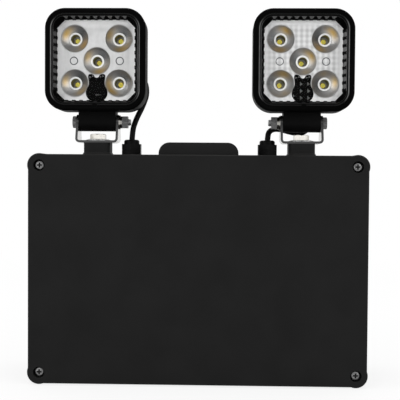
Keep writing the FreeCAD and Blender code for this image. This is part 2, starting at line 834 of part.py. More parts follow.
def reflector():
    """A bright sheet with five dishes, each with a collar round the throat over its light source."""
    sheet = head_plate(cavity_inset + fit_gap, reflector_front, reflector_front + reflector_sheet)
    bottom = board_front - fit_gap
    collar_y = reflector_front + dish_depth
    middle_radius = (cup_radius + collar_radius) / 2
    curve = dish_depth / (cup_radius ** 2 - collar_radius ** 2)
    middle_y = collar_y - curve * (middle_radius ** 2 - collar_radius ** 2)
    outer = cup_radius + cup_skin
    throat_outer = throat_radius + cup_skin
    collar_outer = collar_radius + cup_skin
    collar_back = collar_y + cup_skin
    sheet_back = reflector_front + reflector_sheet
    flat_parts = [(collar_radius, collar_y), (throat_radius, collar_y), (throat_radius, bottom),
                  (throat_outer, bottom), (throat_outer, collar_back), (collar_outer, collar_back),
                  (outer, sheet_back), (outer, reflector_front - cup_rim)]
    cups = []
    holes = [wire_boot_spigot(fit_gap)]
    for x, z in cup_places:
        z = z + head_centre_z
        front = Vector(x + cup_radius, reflector_front - cup_rim, z)
        middle = Vector(x + middle_radius, middle_y, z)
        points = [Vector(x + radius, y, z) for radius, y in flat_parts] + [front]
        edges = [Part.Arc(front, middle, points[0]).toShape()]
        for start, end in zip(points, points[1:]):
            edges.append(Part.LineSegment(start, end).toShape())
        cups.append(Part.Face(Part.Wire(edges)).revolve(Vector(x, 0, z), Y_AXIS, 360))
        holes.append(rod(outer - cup_skin / 2, Vector(x, reflector_front, z), Y_AXIS, reflector_sheet))
    marks = []
    for sign in (-1, 1):
        start = Vector(sign * mark_offset, reflector_front - mark_height, head_centre_z)
        marks.append(ring(mark_radius, mark_radius - mark_line, start, Y_AXIS, mark_height))
    return sheet.cut(holes).fuse(cups + marks).removeSplitter()


def wire_boot_spigot(gap):
    half_width = boot_spigot_width / 2 + gap
    half_height = boot_spigot_height / 2 + gap
    z = window_low_z + boot_spigot_rise
    front = reflector_front - gap
    return block(-half_width, half_width, front, board_front, z - half_height, z + half_height)


def wire_boot():
    """The dark seal where the supply wires come through the reflector: a pear-shaped flange on a spigot."""
    points = [Vector(x, reflector_front - boot_thickness, window_low_z + z) for x, z in boot_outline]
    points += [Vector(-p.x, p.y, p.z) for p in reversed(points)]
    flange = Part.Face(Part.makePolygon(points + points[:1])).extrude(Y_AXIS * boot_thickness)
    return joined([flange, wire_boot_spigot(0.0)])


def led_board():
    board = head_plate(cavity_inset + 2 * fit_gap, board_front, board_front + led_board_thickness)
    hole_start = Vector(0, board_front, exit_height)
    return board.cut(rod(cable_diameter / 2 + lead_hole_gap, hole_start, Y_AXIS, led_board_thickness))


def leds():
    packages = []
    for x, z in cup_places:
        shapes = []
        for size, thick in ((led_size, led_height), (chip_size, led_height + chip_height)):
            corner = Vector(x - size / 2, board_front - thick, z + head_centre_z - size / 2)
            shapes.append(Part.makeBox(size, thick, size, corner))
        packages.append(joined(shapes))
    return packages


def strain_relief():
    """The tapered rubber sleeve where the lead leaves the head."""
    length = relief_back - exit_boss_back
    bore = cable_diameter / 2 + turning_gap
    profile = [(bore, 0), (relief_radius, 0), (relief_radius, relief_collar), (relief_tip_radius, length),
               (bore, length)]
    return revolved(profile, Vector(0, exit_boss_back, exit_height), Y_AXIS)


def cord(name, points, diameter):
    """A round cord along straight runs joined by tangent arcs as large as the runs allow."""
    radius = diameter / 2
    edges = []
    here = points[0]
    length = 0.0
    radii = []
    for before, corner, after in zip(points, points[1:], points[2:]):
        back = (before - corner).normalize()
        ahead = (after - corner).normalize()
        turn = math.pi - back.getAngle(ahead)
        reach = cord_bend_share * min((before - corner).Length, (after - corner).Length)
        bend = reach / math.tan(turn / 2)
        start = corner + back * reach
        end = corner + ahead * reach
        inward = (back + ahead).normalize()
        middle = corner + inward * (bend / math.cos(turn / 2) - bend)
        edges.append(Part.LineSegment(here, start).toShape())
        edges.append(Part.Arc(start, middle, end).toShape())
        length += (start - here).Length + bend * turn
        radii.append(round(bend, 1))
        here = end
    edges.append(Part.LineSegment(here, points[-1]).toShape())
    length += (points[-1] - here).Length
    path = Part.Wire(edges)
    section = Part.Wire(Part.Circle(points[0], points[1] - points[0], radius).toShape())
    solid = path.makePipeShell([section], True, True)
    share = solid.Volume / (math.pi * radius ** 2 * length)
    print(name, "length", round(length, 1), "volume share", round(share, 4), "bend radii", radii)
    return solid


def cable_start(side):
    """The stretch inside the box: from a lamp terminal up into the gland."""
    up = Vector(side * gland_x, lamp_y, top_z)
    lead_in = Vector(side * gland_x, board_front_y - block_height, lamp_block_z - way_pitch / 2)
    return [lead_in, lead_in + Vector(0, -7, 0), lead_in + Vector(0, -15, 4.5),
            up + Vector(0, 2.5, -27), up + Vector(0, 0, -14)]


def left_cable_points():
    """Up from the gland, past the head's lower edge and over in a loop to the head's back."""
    up = Vector(-gland_x, lamp_y, top_z)
    out = Vector(-lamp_x, lamp_y + exit_boss_back, exit_point_z)
    rise = [up + Vector(0, 0, 20), up + Vector(3.2, 5.5, 32), up + Vector(8.2, 11, 43)]
    rise += [up + Vector(11.8, 17, 55), up + Vector(9, 25, 67.5), up + Vector(0, 32, 74)]
    loop = [out + Vector(18, 24, 17.5), out + Vector(6.5, 25.5, 11), out + Vector(0.6, 21, 3)]
    return cable_start(-1) + rise + loop + [out + Vector(0, 14, 0), out + Vector(0, 3, 0)]


def right_cable_points():
    """Up from the gland, round behind the strap, low behind the lug and up to the head's back."""
    up = Vector(gland_x, lamp_y, top_z)
    out = Vector(lamp_x, lamp_y + exit_boss_back, exit_point_z)
    bend = [up + Vector(0, 0, 17), up + Vector(2.5, 6, 22.8), up + Vector(10, 12.6, 24.6)]
    bend += [up + Vector(20, 14.6, 21.8), up + Vector(30, 15, 20)]
    rise = [up + Vector(37.5, 19.5, 25), out + Vector(8.2, 17, -21), out + Vector(5, 22.5, -12)]
    rise += [out + Vector(1.4, 20.5, -3.4)]
    return cable_start(1) + bend + rise + [out + Vector(0, 13, 0), out + Vector(0, 3, 0)]


def battery_lead_points(sign):
    """From the control board's lower edge down to a battery terminal."""
    tab = Vector(sign * terminal_offset, terminal_y, battery_top_z + terminal_height)
    start = Vector(sign * terminal_offset, board_front_y, board_top_z - board_height + 8)
    return [start, start + Vector(0, -8, 0), start + Vector(0, -18, 3), start + Vector(0, -27, 2),
            tab + Vector(0, 0, 10), tab]


def build_pieces():
    pieces = {
        "back_box": back_box(),
        "front_cover": front_cover(),
        "cover_gasket": cover_gasket(),
        "cover_screws": cover_screws(),
        "battery": battery(),
        "battery_terminals": battery_terminals(),
        "battery_band": battery_band(),
        "inner_screws": inner_screws(),
        "control_board": control_board(),
        "transformer": transformer(),
        "capacitors": capacitors(),
        "fuse_holder": fuse_holder(),
        "mains_terminals": mains_terminals(),
        "lamp_terminals": lamp_terminals(),
        "battery_lead_black": cord("battery_lead_black", battery_lead_points(-1), wire_diameter),
        "battery_lead_red": cord("battery_lead_red", battery_lead_points(1), wire_diameter),
        "left_lamp_cable": cord("left_lamp_cable", left_cable_points(), cable_diameter),
        "right_lamp_cable": cord("right_lamp_cable", right_cable_points(), cable_diameter),
    }
    for name, side in SIDES.items():
        gland_place = side * gland_x
        pieces[f"{name}_gland_body"] = gland_body(gland_place)
        pieces[f"{name}_gland_cap"] = gland_cap(gland_place)
        pieces[f"{name}_gland_seal"] = gland_seal(gland_place)
        pieces[f"{name}_gland_locknut"] = gland_locknut(gland_place)
        on_pedestal = {
            "bracket": bracket(),
            "base_bolt": base_bolt(),
            "base_washer": base_washer(),
            "base_nut": base_nut(),
        }
        on_pivot = {
            "pivot_bolt": pivot_bolt(side),
            "pivot_washers": pivot_washers(side),
            "pivot_nut": pivot_nut(side),
            "head_housing": head_housing(),
            "bezel": bezel(),
            "lens": lens(),
            "lens_seal": lens_seal(),
            "reflector": reflector(),
            "led_board": led_board(),
            "leds": leds(),
            "wire_boot": wire_boot(),
            "strain_relief": strain_relief(),
        }
        for group, height in ((on_pedestal, pedestal_top), (on_pivot, pivot_z)):
            for piece, shape in group.items():
                solids = shape if isinstance(shape, list) else [shape]
                for solid in solids:
                    solid.translate(Vector(side * lamp_x, lamp_y, height))
                pieces[f"{name}_{piece}"] = solids
    return pieces


os.makedirs("parts", exist_ok=True)
for node, shape in build_pieces().items():
    solids = shape if isinstance(shape, list) else [shape]
    whole = [solid for item in solids for solid in item.Solids]
    body = whole[0] if len(whole) == 1 else Part.makeCompound(whole)
    if not body.isValid() or len(whole) != len(solids):
        print("check", node, "valid", body.isValid(), "solids", len(whole), "of", len(solids))
    body.exportStep(f"parts/{node}.step")
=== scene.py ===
import json
import math

import bmesh
import bpy
from mathutils import Matrix, Vector


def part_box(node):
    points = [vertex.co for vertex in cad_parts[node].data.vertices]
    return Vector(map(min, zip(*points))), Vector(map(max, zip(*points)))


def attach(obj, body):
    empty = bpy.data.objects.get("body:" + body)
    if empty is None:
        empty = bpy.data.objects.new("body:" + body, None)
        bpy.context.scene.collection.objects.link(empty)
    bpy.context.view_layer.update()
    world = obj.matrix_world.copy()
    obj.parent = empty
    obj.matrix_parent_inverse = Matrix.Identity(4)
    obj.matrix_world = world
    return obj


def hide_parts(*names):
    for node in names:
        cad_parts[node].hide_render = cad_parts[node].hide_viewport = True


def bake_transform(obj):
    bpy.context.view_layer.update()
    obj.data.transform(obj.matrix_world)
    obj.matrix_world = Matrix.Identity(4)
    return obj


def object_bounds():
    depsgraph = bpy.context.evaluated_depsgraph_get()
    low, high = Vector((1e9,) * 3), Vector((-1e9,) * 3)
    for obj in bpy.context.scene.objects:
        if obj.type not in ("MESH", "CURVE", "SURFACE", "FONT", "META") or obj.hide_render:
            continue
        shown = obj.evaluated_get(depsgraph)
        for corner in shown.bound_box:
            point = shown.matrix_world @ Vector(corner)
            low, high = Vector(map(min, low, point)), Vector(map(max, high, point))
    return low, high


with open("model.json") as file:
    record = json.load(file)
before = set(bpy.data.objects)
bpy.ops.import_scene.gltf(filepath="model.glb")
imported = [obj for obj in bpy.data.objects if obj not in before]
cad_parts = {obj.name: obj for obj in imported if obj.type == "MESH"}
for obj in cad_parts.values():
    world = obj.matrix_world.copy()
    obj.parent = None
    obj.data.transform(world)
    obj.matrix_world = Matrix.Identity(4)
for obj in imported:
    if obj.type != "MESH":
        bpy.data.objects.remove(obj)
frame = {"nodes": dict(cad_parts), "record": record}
cad_low, cad_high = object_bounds()

scene = bpy.context.scene
nodes = frame["nodes"]
MM = 0.001
SIDES = ("left", "right")
OUTWARD = {"left": -1, "right": 1}
ACROSS = Vector((1, 0, 0))
UPWARD = Vector((0, 0, 1))
QUARTERS = ((1, 1), (-1, 1), (-1, -1), (1, -1))

# Shading of a mesh: the angle, in degrees, from which an edge is crisp.
FLAT = 0
ROUND = 180

# Camera: where the photograph was taken from, in metres and radians.
CAMERA_PLACE = (0.02110, -0.78621, 0.07797)
CAMERA_TURN = 0.02742
CAMERA_PITCH = -0.0286
CAMERA_ROLL = -0.00675
CAMERA_LENS = 76.6
CAMERA_SENSOR = 36.0
CAMERA_NEAR = 0.01
CAMERA_FAR = 50.0

# Lamp leads: routes of the two jackets, in metres, and where each is cut into stretches.
LEAD_RADIUS = 0.0024
LEAD_ROUTES = {
    "left": (
        (-0.0585, -0.0266, 0.0525), (-0.0585, -0.0336, 0.0525), (-0.0585, -0.0416, 0.0570),
        (-0.0585, -0.0475, 0.0680), (-0.0585, -0.0500, 0.0810), (-0.0585, -0.0500, 0.1150),
        (-0.0553, -0.0445, 0.1270), (-0.0503, -0.0390, 0.1380), (-0.0467, -0.0330, 0.1500),
        (-0.0495, -0.0250, 0.1625), (-0.0585, -0.0180, 0.1690), (-0.0696, -0.0130, 0.1651),
        (-0.0811, -0.0115, 0.1586), (-0.0870, -0.0160, 0.1506), (-0.0876, -0.0230, 0.1476),
        (-0.0876, -0.0340, 0.1476),
    ),
    "right": (
        (0.0585, -0.0266, 0.0525), (0.0585, -0.0336, 0.0525), (0.0585, -0.0416, 0.0570),
        (0.0585, -0.0475, 0.0680), (0.0585, -0.0500, 0.0810), (0.0585, -0.0500, 0.1120),
        (0.0610, -0.0440, 0.1178), (0.0685, -0.0374, 0.1196), (0.0785, -0.0354, 0.1168),
        (0.0885, -0.0350, 0.1150), (0.0960, -0.0305, 0.1200), (0.0958, -0.0200, 0.1266),
        (0.0926, -0.0145, 0.1356), (0.0890, -0.0165, 0.1442), (0.0876, -0.0240, 0.1476),
        (0.0876, -0.0340, 0.1476),
    ),
}
LEAD_EXIT = {"left": (-0.0585, -0.050, 0.1086), "right": (0.0585, -0.050, 0.1086)}
LEAD_MIDDLE = {"left": (-0.0540, -0.0430, 0.1295), "right": (0.0885, -0.0350, 0.1150)}
LEAD_HIDDEN = 0.0986
LEAD_CRISP = 60
ROUTE_STEPS = 14
ROUTE_ORDER = 3
TUBE_SIDES = 24

# Reflector: plate with five dishes, in millimetres.
# Profiles are pairs of radius and depth from the plate's front.
DISH_PLACES = ((-18.8, 18.8), (18.8, 18.8), (0.0, 0.0), (-18.8, -18.8), (18.8, -18.8))
DISH_LAYERS = ("shade", "amber_reflection", "collar", "throat", "bowl")
PLATE_CORNER = 10.7
PLATE_STEPS = 10
PLATE_BACK = 1.2
DISH_RIM = 12.15
DISH_RADIUS = 11.6
DISH_BEAD = 0.2
DISH_DEPTH = 4.8
DISH_STEPS = 72
DISH_RINGS = 10
COLLAR_RADIUS = 5.7
BEAD_PROFILE = ((12.0, -0.14), (11.75, -DISH_BEAD), (DISH_RADIUS, -DISH_BEAD))
COLLAR_PROFILE = ((5.68, 4.55), (5.45, 4.35), (4.45, 4.35), (4.15, 4.6))
THROAT_PROFILE = ((3.9, 5.4), (3.9, 17.6), (4.7, 17.6))
THROAT_BACK = (4.7, 6.4)
MARK_PLACES = (-19.6, 19.6)
MARK_PROFILE = ((3.6, 0.02), (3.42, -0.25), (2.88, -0.25), (2.7, 0.02))
MARK_STEPS = 36
REFLECTOR_PROUD = 0.4
REFLECTOR_CRISP = 32

# Quilting of the right reflector's plate, in millimetres.
QUILT_PITCH = 4.6
QUILT_STEP = 1.15
QUILT_HEIGHT = 0.18
QUILT_LEAST = 0.01
QUILT_FADE = 1.5
QUILT_GAP = 0.1
QUILT_SINK = 0.4
QUILT_CRISP = 50

# Painted light of each dish: direction of its darkest painted shade, then direction, half width and weight
# of each amber patch, a painted reflection of the yellow light sources. Directions and widths are in
# degrees.
DISH_PAINTED_LIGHT = {
    "left": (
        (50, ((145, 38, 0.9), (-35, 30, 0.8))),
        (45, ((158, 34, 0.8), (-75, 42, 0.9))),
        (55, ((155, 32, 0.7), (-75, 36, 0.9))),
        (40, ((165, 34, 0.7), (-55, 32, 0.6))),
        (40, ((185, 40, 0.8), (235, 30, 0.7))),
    ),
    "right": (
        (180, ((60, 36, 0.9), (-90, 34, 0.7))),
        (170, ((43, 38, 0.9), (-120, 34, 0.7))),
        (185, ((40, 42, 0.9), (-70, 24, 0.4))),
        (180, ((75, 40, 0.9), (-60, 22, 0.3))),
        (190, ((15, 36, 0.7), (95, 26, 0.4))),
    ),
}
# Painted shade and painted amber reflection in the dishes: strength, width, depth and reach.
SHADE_LEAST = 0.12
SHADE_MOST = 0.75
SHADE_WIDTH = 75
SHADE_DEEP = 1.1
SHADE_FALL = 0.4
AMBER_REFLECTION_MOST = 1.1
AMBER_REFLECTION_PLACE = 0.55
AMBER_REFLECTION_REACH = 0.42

# Wire boot at the bottom of the window: right half of its outline from its lowest point up, in millimetres.
# Rings are pairs of width share and height share.
BOOT_OUTLINE = (
    (0.0, 0.0), (3.4, 0.1), (6.6, 1.4), (8.7, 4.2), (9.2, 7.4), (8.5, 10.4), (7.2, 13.0), (6.7, 15.6),
    (7.0, 18.6), (7.3, 21.4), (6.4, 22.9), (4.2, 22.9), (2.4, 22.0), (1.7, 20.6), (0.0, 19.8),
)
BOOT_MIDDLE = 9.0
BOOT_STEPS = 5
BOOT_RINGS = (
    (1.0, 0.0), (1.0, 0.4), (0.985, 0.56), (0.95, 0.66), (0.86, 0.78), (0.7, 0.88), (0.5, 0.95),
    (0.25, 1.0), (0.05, 1.0),
)
BOOT_HEIGHT = {"left": 1.0, "right": 0.55}
BOOT_FOLDS = 5
BOOT_FOLD_DEPTH = {"left": 0.12, "right": 0.0}
BOOT_CRISP = 50

# The studs are painted paler than the boot: painted glints, and on the left boot's crease a painted
# highlight.
# Studs on the boots: place across and up, half width and length, in millimetres.
# Rings are pairs of width share and height.
EAR_STUDS = ((-6.2, 20.4, 1.0, 1.6), (-3.9, 21.2, 0.9, 1.5), (2.8, 20.6, 0.9, 1.5), (4.9, 21.2, 1.1, 1.6))
BODY_STUDS = (
    (-8.0, 5.0, 1.3, 1.3), (-2.2, 3.4, 1.7, 2.2), (4.0, 3.4, 1.7, 2.2), (-2.2, 9.3, 1.7, 2.2),
    (4.0, 9.3, 1.7, 2.2), (-2.2, 15.2, 1.5, 2.2), (3.8, 15.2, 1.5, 2.2),
)
CREASE_STUDS = ((-1.2, 5.3, 0.5, 6.4),)
BOOT_STUDS = {"left": CREASE_STUDS + EAR_STUDS, "right": BODY_STUDS + EAR_STUDS}
STUD_RINGS = ((1.0, 0.0), (1.0, 0.4), (0.8, 1.12))
STUD_CORNERS = ((-1 / 3, -1), (2 / 3, 0), (-1 / 3, 1))

# Cover screws: pan head with a cross recess, in millimetres.
SCREW_HEAD = 4.2
SCREW_HEIGHT = 2.5
SCREW_SIDE = 1.1
SCREW_LIP = 0.99
SCREW_SHANK = 2.0
SCREW_ROOT = 1.65
SCREW_PITCH = 0.7
SCREW_STEPS = 72
SCREW_RINGS = 34
SCREW_CRISP = 40
CROSS_WIDTH = 1.15
CROSS_LENGTH = 4.1
CROSS_DEPTH = 1.7
CROSS_SLOPE = 0.35
CROSS_CORE = 1.0

# Light sources: half width and height of the square base, then the dome on it, in millimetres.
LED_BASE = ((1.9, 0.0), (1.9, 0.36), (1.786, 0.45))
LED_CORNER = 0.4
LED_CORNER_STEPS = 4
LED_FOOT = 1.96
LED_SEAT = 0.45
LED_DOME = 1.75
LED_DOME_HEIGHT = 1.5
LED_TOP = 0.14
LED_STEPS = 24
LED_RINGS = 8
LED_CRISP = 35

# Bezel: fine ribs round its corners, in millimetres. Section and taper are in shares of a rib's size.
BEZEL_CORNER = 17.0
RIB_INSET = 6.0
RIB_LENGTH = 1.15
RIB_WIDTH = 0.42
RIB_HEIGHT = 0.32
RIB_SEAT = 1.05
RIBS_PER_CORNER = 15
RIB_SECTION = ((-0.5, 0.25), (-0.5, 0.0), (-0.22, -0.8), (0.22, -0.8), (0.5, 0.0), (0.5, 0.25))
RIB_TAPER = ((-0.5, 0.55), (-0.36, 1.0), (0.36, 1.0), (0.5, 0.55))

# Raised lines of the bezel: inset, radius and depth in millimetres, then the strength of the painted
# highlight on each line on the lamp's outer and inner side.
BEADS = ((5.2, 0.45, 0.34, 1.0, 0.8), (6.6, 0.4, 1.25, 0.1, 0.5))
BEAD_STEPS = 14
BEAD_SIDES = 10
BEAD_SEAT = 0.3
LINE_FADE = 4.0
LINE_LEAST = 0.06

# Slopes round the window, with wedges, a panel and the inner ends of the teeth, in millimetres; the lit
# values are shares of painted highlight.
WINDOW_HALF_X = 33.25
WINDOW_HALF_Z = 34.2
SLOPE_INSET = 6.6
SLOPE_TOP = 1.0
SLOPE_FOOT = 7.2
WEDGES_PER_SIDE = 9
WEDGE_PITCH = 6.2
WEDGE_OUT = 2.1
WEDGE_IN = 0.75
WEDGE_TIP = 0.6
WEDGE_HALF_LEVEL = 2.0
WEDGE_HALF_UPRIGHT = 1.5
# Shares of painted highlight on the top and bottom wedges and on the outer panel.
WEDGE_LIT_TOP = 0.75
WEDGE_LIT_BOTTOM = 0.1
WEDGE_RISE = 0.45
WEDGE_SINK = 0.25
PANEL_REACH = 25.5
PANEL_EDGE = 0.15
PANEL_RISE = 0.08
PANEL_LIT = {"left": 0.5, "right": 1.0}
STEM_HALF = 1.0
STEM_REACH_TOP = 0.6
STEM_REACH_OUTER = 0.8
STEM_ROOT = 1.0
STEM_DEPTHS = (5.0, 7.0)

# Pivot bolt: hexagon head and thread, in millimetres. The crown is pairs of distance and radius.
BOLT_FLATS = 10.0
BOLT_CROWN = ((0.12, 2.88), (0.0, 3.168), (0.0, 4.8))
BOLT_CHAMFER = math.tan(math.radians(30))
BOLT_HEAD = 3.6
BOLT_RADIUS = 3.0
BOLT_ROOT = 2.5
BOLT_END = 2.35
BOLT_PITCH = 1.0
BOLT_PLAIN = 40.0
BOLT_POINT = 0.6
BOLT_STEPS = 36
BOLT_SLICES = 8
BOLT_CRISP = 24

# Stage, in metres. Each light has a place, a width, a height and a power.
FLOOR_SIZE = 14.0
FLOOR_GAP = 0.0004
FLOOR_WHITE = 0.9
FLOOR_CLOUDS = 0.88
FLOOR_ROUGHNESS = 0.9
FLOOR_GLOW = 0.8
FLOOR_NEAR = 0.3
FLOOR_FAR = 1.1
STUDIO_DARK = 0.7
STUDIO_BRIGHT = 0.95
STUDIO_FRONT = (-0.85, -0.5)
STUDIO_ABOVE = (0.9, 0.5)
LIGHT_AIM = (0.0, -0.05, 0.08)
LIGHTS = {
    "key": ((-1.1, -1.1, 0.5), 1.8, 1.5, 13.0),
    "fill": ((1.2, -1.1, 0.4), 1.8, 1.5, 13.0),
    "top": ((0.0, 0.1, 1.35), 1.2, 0.8, 5.0),
}


# Helpers for places and sizes.

def lamp_middle(side):
    """Middle of a lamp's front."""
    low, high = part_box(f"{side}_bezel")
    return Vector(((low.x + high.x) / 2, low.y, (low.z + high.z) / 2))


def reflector_middle(side):
    """Middle of the front of a reflector's plate."""
    middle = lamp_middle(side)
    middle.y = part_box(f"{side}_reflector")[0].y + REFLECTOR_PROUD * MM
    return middle


def half_size(node):
    """Half the width and half the height of a node, in millimetres."""
    low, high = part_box(node)
    return (high.x - low.x) / 2 / MM, (high.z - low.z) / 2 / MM


def circle(count):
    """Directions round a full turn, as pairs of cosine and sine."""
    turns = [2 * math.pi * step / count for step in range(count)]
    return [(math.cos(turn), math.sin(turn)) for turn in turns]


def rounded_square(half_x, half_z, corner_radius, steps):
    """Points round a rounded rectangle, starting at the lower end of its upper right corner."""
    outline = []
    for quarter, (sign_x, sign_z) in enumerate(QUARTERS):
        for step in range(steps + 1):
            turn = math.radians(90 * quarter + 90 * step / steps)
            x = sign_x * (half_x - corner_radius) + corner_radius * math.cos(turn)
            z = sign_z * (half_z - corner_radius) + corner_radius * math.sin(turn)
            outline.append((x, z))
    return outline


# Helpers for meshes.

def link(name, data):
    """A new object of that mesh, curve, light or camera in the scene."""
    piece = bpy.data.objects.new(name, data)
    scene.collection.objects.link(piece)
    return piece


def corner(shape, origin, x, y, z):
    """A new corner of a mesh, in millimetres from an origin."""
    return shape.verts.new(origin + Vector((x, y, z)) * MM)


def turned(shape, origin, profile, count):
    """Round rings that face forward, from pairs of radius and depth in millimetres."""
    return [
        [corner(shape, origin, radius * cosine, depth, radius * sine) for cosine, sine in circle(count)]
        for radius, depth in profile
    ]


def skin(shape, rings, closed_ends=True):
    """Joins rings of corners, one after another, into a surface."""
    for ring, following in zip(rings, rings[1:]):
        count = len(ring)
        for step in range(count):
            after = (step + 1) % count
            shape.faces.new((ring[step], ring[after], following[after], following[step]))
    if closed_ends:
        shape.faces.new(tuple(reversed(rings[0])))
        shape.faces.new(rings[-1])


def ring_edges(shape, ring):
    """The edges between neighbours in a ring of corners."""
    return [shape.edges.get((ring[step - 1], ring[step])) for step in range(len(ring))]


def mesh_piece(name, shape, crisp, faces_outward=False):
    """An object from a bmesh, its faces turned outward if need be, with crisp edges from that angle on."""
    if not faces_outward:
        bmesh.ops.recalc_face_normals(shape, faces=shape.faces)
    mesh = bpy.data.meshes.new(name)
    shape.to_mesh(mesh)
    shape.free()
    for face in mesh.polygons:
        face.use_smooth = crisp != FLAT
    if crisp not in (FLAT, ROUND):
        mesh.set_sharp_from_angle(angle=math.radians(crisp))
    return link(name, mesh)


def paint(piece, material):
    """Gives a piece one material."""
    piece.data.materials.clear()
    piece.data.materials.append(material)


def dress(piece, finish, body, node=None):
    """Gives a piece its finish and the body it rides on, and hides the node it stands for."""
    paint(piece, FINISHES[finish])
    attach(piece, body)
    if node:
        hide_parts(node)


# Helpers for materials.

class Graph:
    """Short calls that add shader nodes to a tree and join them."""

    def __init__(self, tree):
        self.tree = tree

    def feed(self, socket, value):
        """Links a socket to another one, or sets its value."""
        if isinstance(value, bpy.types.NodeSocket):
            self.tree.links.new(value, socket)
        else:
            socket.default_value = value

    def add(self, kind, inputs=None, **settings):
        """A new node with those inputs, by name or number."""
        node = self.tree.nodes.new(kind)
        for name, value in settings.items():
            setattr(node, name, value)
        for name, value in (inputs or {}).items():
            self.feed(node.inputs[name], value)
        return node

    def level(self, value, low, high, start=0.3, end=0.7):
        """Goes from low to high while the value goes from start to end."""
        inputs = {"Value": value, "From Min": start, "From Max": end, "To Min": low, "To Max": high}
        return self.add("ShaderNodeMapRange", inputs).outputs["Result"]

    def math(self, operation, first, second=0.0):
        return self.add("ShaderNodeMath", {0: first, 1: second}, operation=operation).outputs[0]

    def plus(self, first, second):
        return self.math("ADD", first, second)

    def times(self, first, second):
        return self.math("MULTIPLY", first, second)

    def most(self, first, second):
        return self.math("MAXIMUM", first, second)

    def mix(self, share, first, second):
        """A colour between two others."""
        return self.add("ShaderNodeMix", {0: share, 6: first, 7: second}, data_type="RGBA").outputs[2]

    def mix_shaders(self, share, first, second):
        return self.add("ShaderNodeMixShader", {0: share, 1: first, 2: second}).outputs[0]

    def parts(self, vector):
        """The X, Y and Z of a vector."""
        return self.add("ShaderNodeSeparateXYZ", {"Vector": vector}).outputs


class Surface(Graph):
    """A material with one Principled shader, and textures in object space."""

    def __init__(self, name, roughness, metallic=0.0, specular=0.5):
        self.material = bpy.data.materials.new(name)
        self.material.use_nodes = True
        super().__init__(self.material.node_tree)
        self.shader = self.tree.nodes["Principled BSDF"]
        self.set(Roughness=roughness, Metallic=metallic, Specular_IOR_Level=specular)
        coordinates = self.add("ShaderNodeTexCoord").outputs
        self.place = coordinates["Object"]
        self.facing = coordinates["Normal"]

    def set(self, **values):
        """Sets or links inputs of the shader."""
        for name, value in values.items():
            self.feed(self.shader.inputs[name.replace("_", " ")], value)

    def show(self, shader):
        """Makes that shader what the material shows."""
        self.feed(self.tree.nodes["Material Output"].inputs["Surface"], shader)

    def noise(self, scale, detail=3.0, stretch=(1, 1, 1), roughness=0.55):
        spread = self.add("ShaderNodeMapping", {"Vector": self.place, "Scale": stretch}).outputs[0]
        inputs = {"Vector": spread, "Scale": scale, "Detail": detail, "Roughness": roughness}
        return self.add("ShaderNodeTexNoise", inputs).outputs["Fac"]

    def cells(self, scale):
        return self.add("ShaderNodeTexVoronoi", {"Vector": self.place, "Scale": scale}).outputs["Distance"]

    def attribute(self, name):
        """A value that the mesh carries at its corners."""
        return self.add("ShaderNodeAttribute", attribute_name=name).outputs["Fac"]

    def bump(self, height, strength, depth, under=None):
        """Fine relief of that depth, in metres, over another one."""
        inputs = {"Height": height, "Strength": strength, "Distance": depth}
        if under is not None:
            inputs["Normal"] = under
        return self.add("ShaderNodeBump", inputs).outputs["Normal"]

    def edge(self, radius):
        """1 along edges within that radius, 0 on flat faces."""
        soft = self.add("ShaderNodeBevel", {"Radius": radius}, samples=4).outputs[0]
        plain = self.add("ShaderNodeNewGeometry").outputs["Normal"]
        match = self.add("ShaderNodeVectorMath", {0: soft, 1: plain}, operation="DOT_PRODUCT")
        return self.level(match.outputs["Value"], 1.0, 0.0, start=0.72, end=0.99)


def tone(red, green, blue):
    """An opaque colour."""
    return (red, green, blue, 1.0)


def grey(value):
    """An opaque grey."""
    return tone(value, value, value)


# Values of the materials, in metres where they are lengths.
WORN_EDGE = 0.0005
WORN_GAIN = 2.2
DUST = tone(0.16, 0.155, 0.145)
SCRATCH_SCALE = 1600.0
SCRATCH_STRETCH = (1.0, 0.12, 1.0)
BRUSH_SCALE = 900.0
LENS_INDEX = 1.12
FLUTE_PITCH = 0.0062
FLUTE_DEPTH = 0.000002
PAINTED_GLOW = 0.4
# The plate is painted paler towards its border: painted light against the shadow of the bezel.
PLATE_LIT_BORDER = (0.027, 0.033)
PLATE_PAINTED_LIGHT = grey(0.88)
DISH_SILVER = grey(0.50)
# Painted shade and painted amber reflection of the yellow light sources, laid over the dishes.
DISH_PAINTED_SHADE = tone(0.07, 0.073, 0.077)
DISH_AMBER_REFLECTION = tone(0.60, 0.40, 0.12)
COLLAR_WHITE = tone(0.80, 0.80, 0.79)
# The throats are painted dark: painted shade in the deep holes.
THROAT_PAINTED_SHADE = tone(0.13, 0.13, 0.125)


def moulded(name, dark, light, roughness, grain, depth, specular=0.4, wear=0.006, dust=0.0):
    """A moulded or painted surface: cloudy tone, fine grain, uneven gloss, rubbed edges and dust on top."""
    surface = Surface(name, roughness, 0.0, specular)
    cloud = surface.noise(35.0, 4.0)
    fine = surface.noise(grain)
    pits = surface.cells(grain * 0.6)
    body = surface.mix(surface.level(cloud, 0.0, 1.0), dark, light)
    rubbed = surface.times(surface.edge(WORN_EDGE), surface.level(fine, 0.1, 0.55))
    paler = tone(*(min(1.0, part * WORN_GAIN + wear) for part in light[:3]))
    worn = surface.mix(rubbed, body, paler)
    upward = surface.level(surface.parts(surface.facing)["Z"], 0.0, dust, start=0.3, end=0.95)
    settled = surface.times(upward, surface.level(cloud, 0.4, 1.0))
    surface.set(Base_Color=surface.mix(settled, worn, DUST))
    broad = surface.level(cloud, roughness - 0.05, roughness + 0.05)
    surface.set(Roughness=surface.plus(broad, surface.level(fine, -0.04, 0.04)))
    pitted = surface.bump(pits, 0.35, depth)
    surface.set(Normal=surface.bump(fine, 0.5, depth, pitted))
    return surface.material


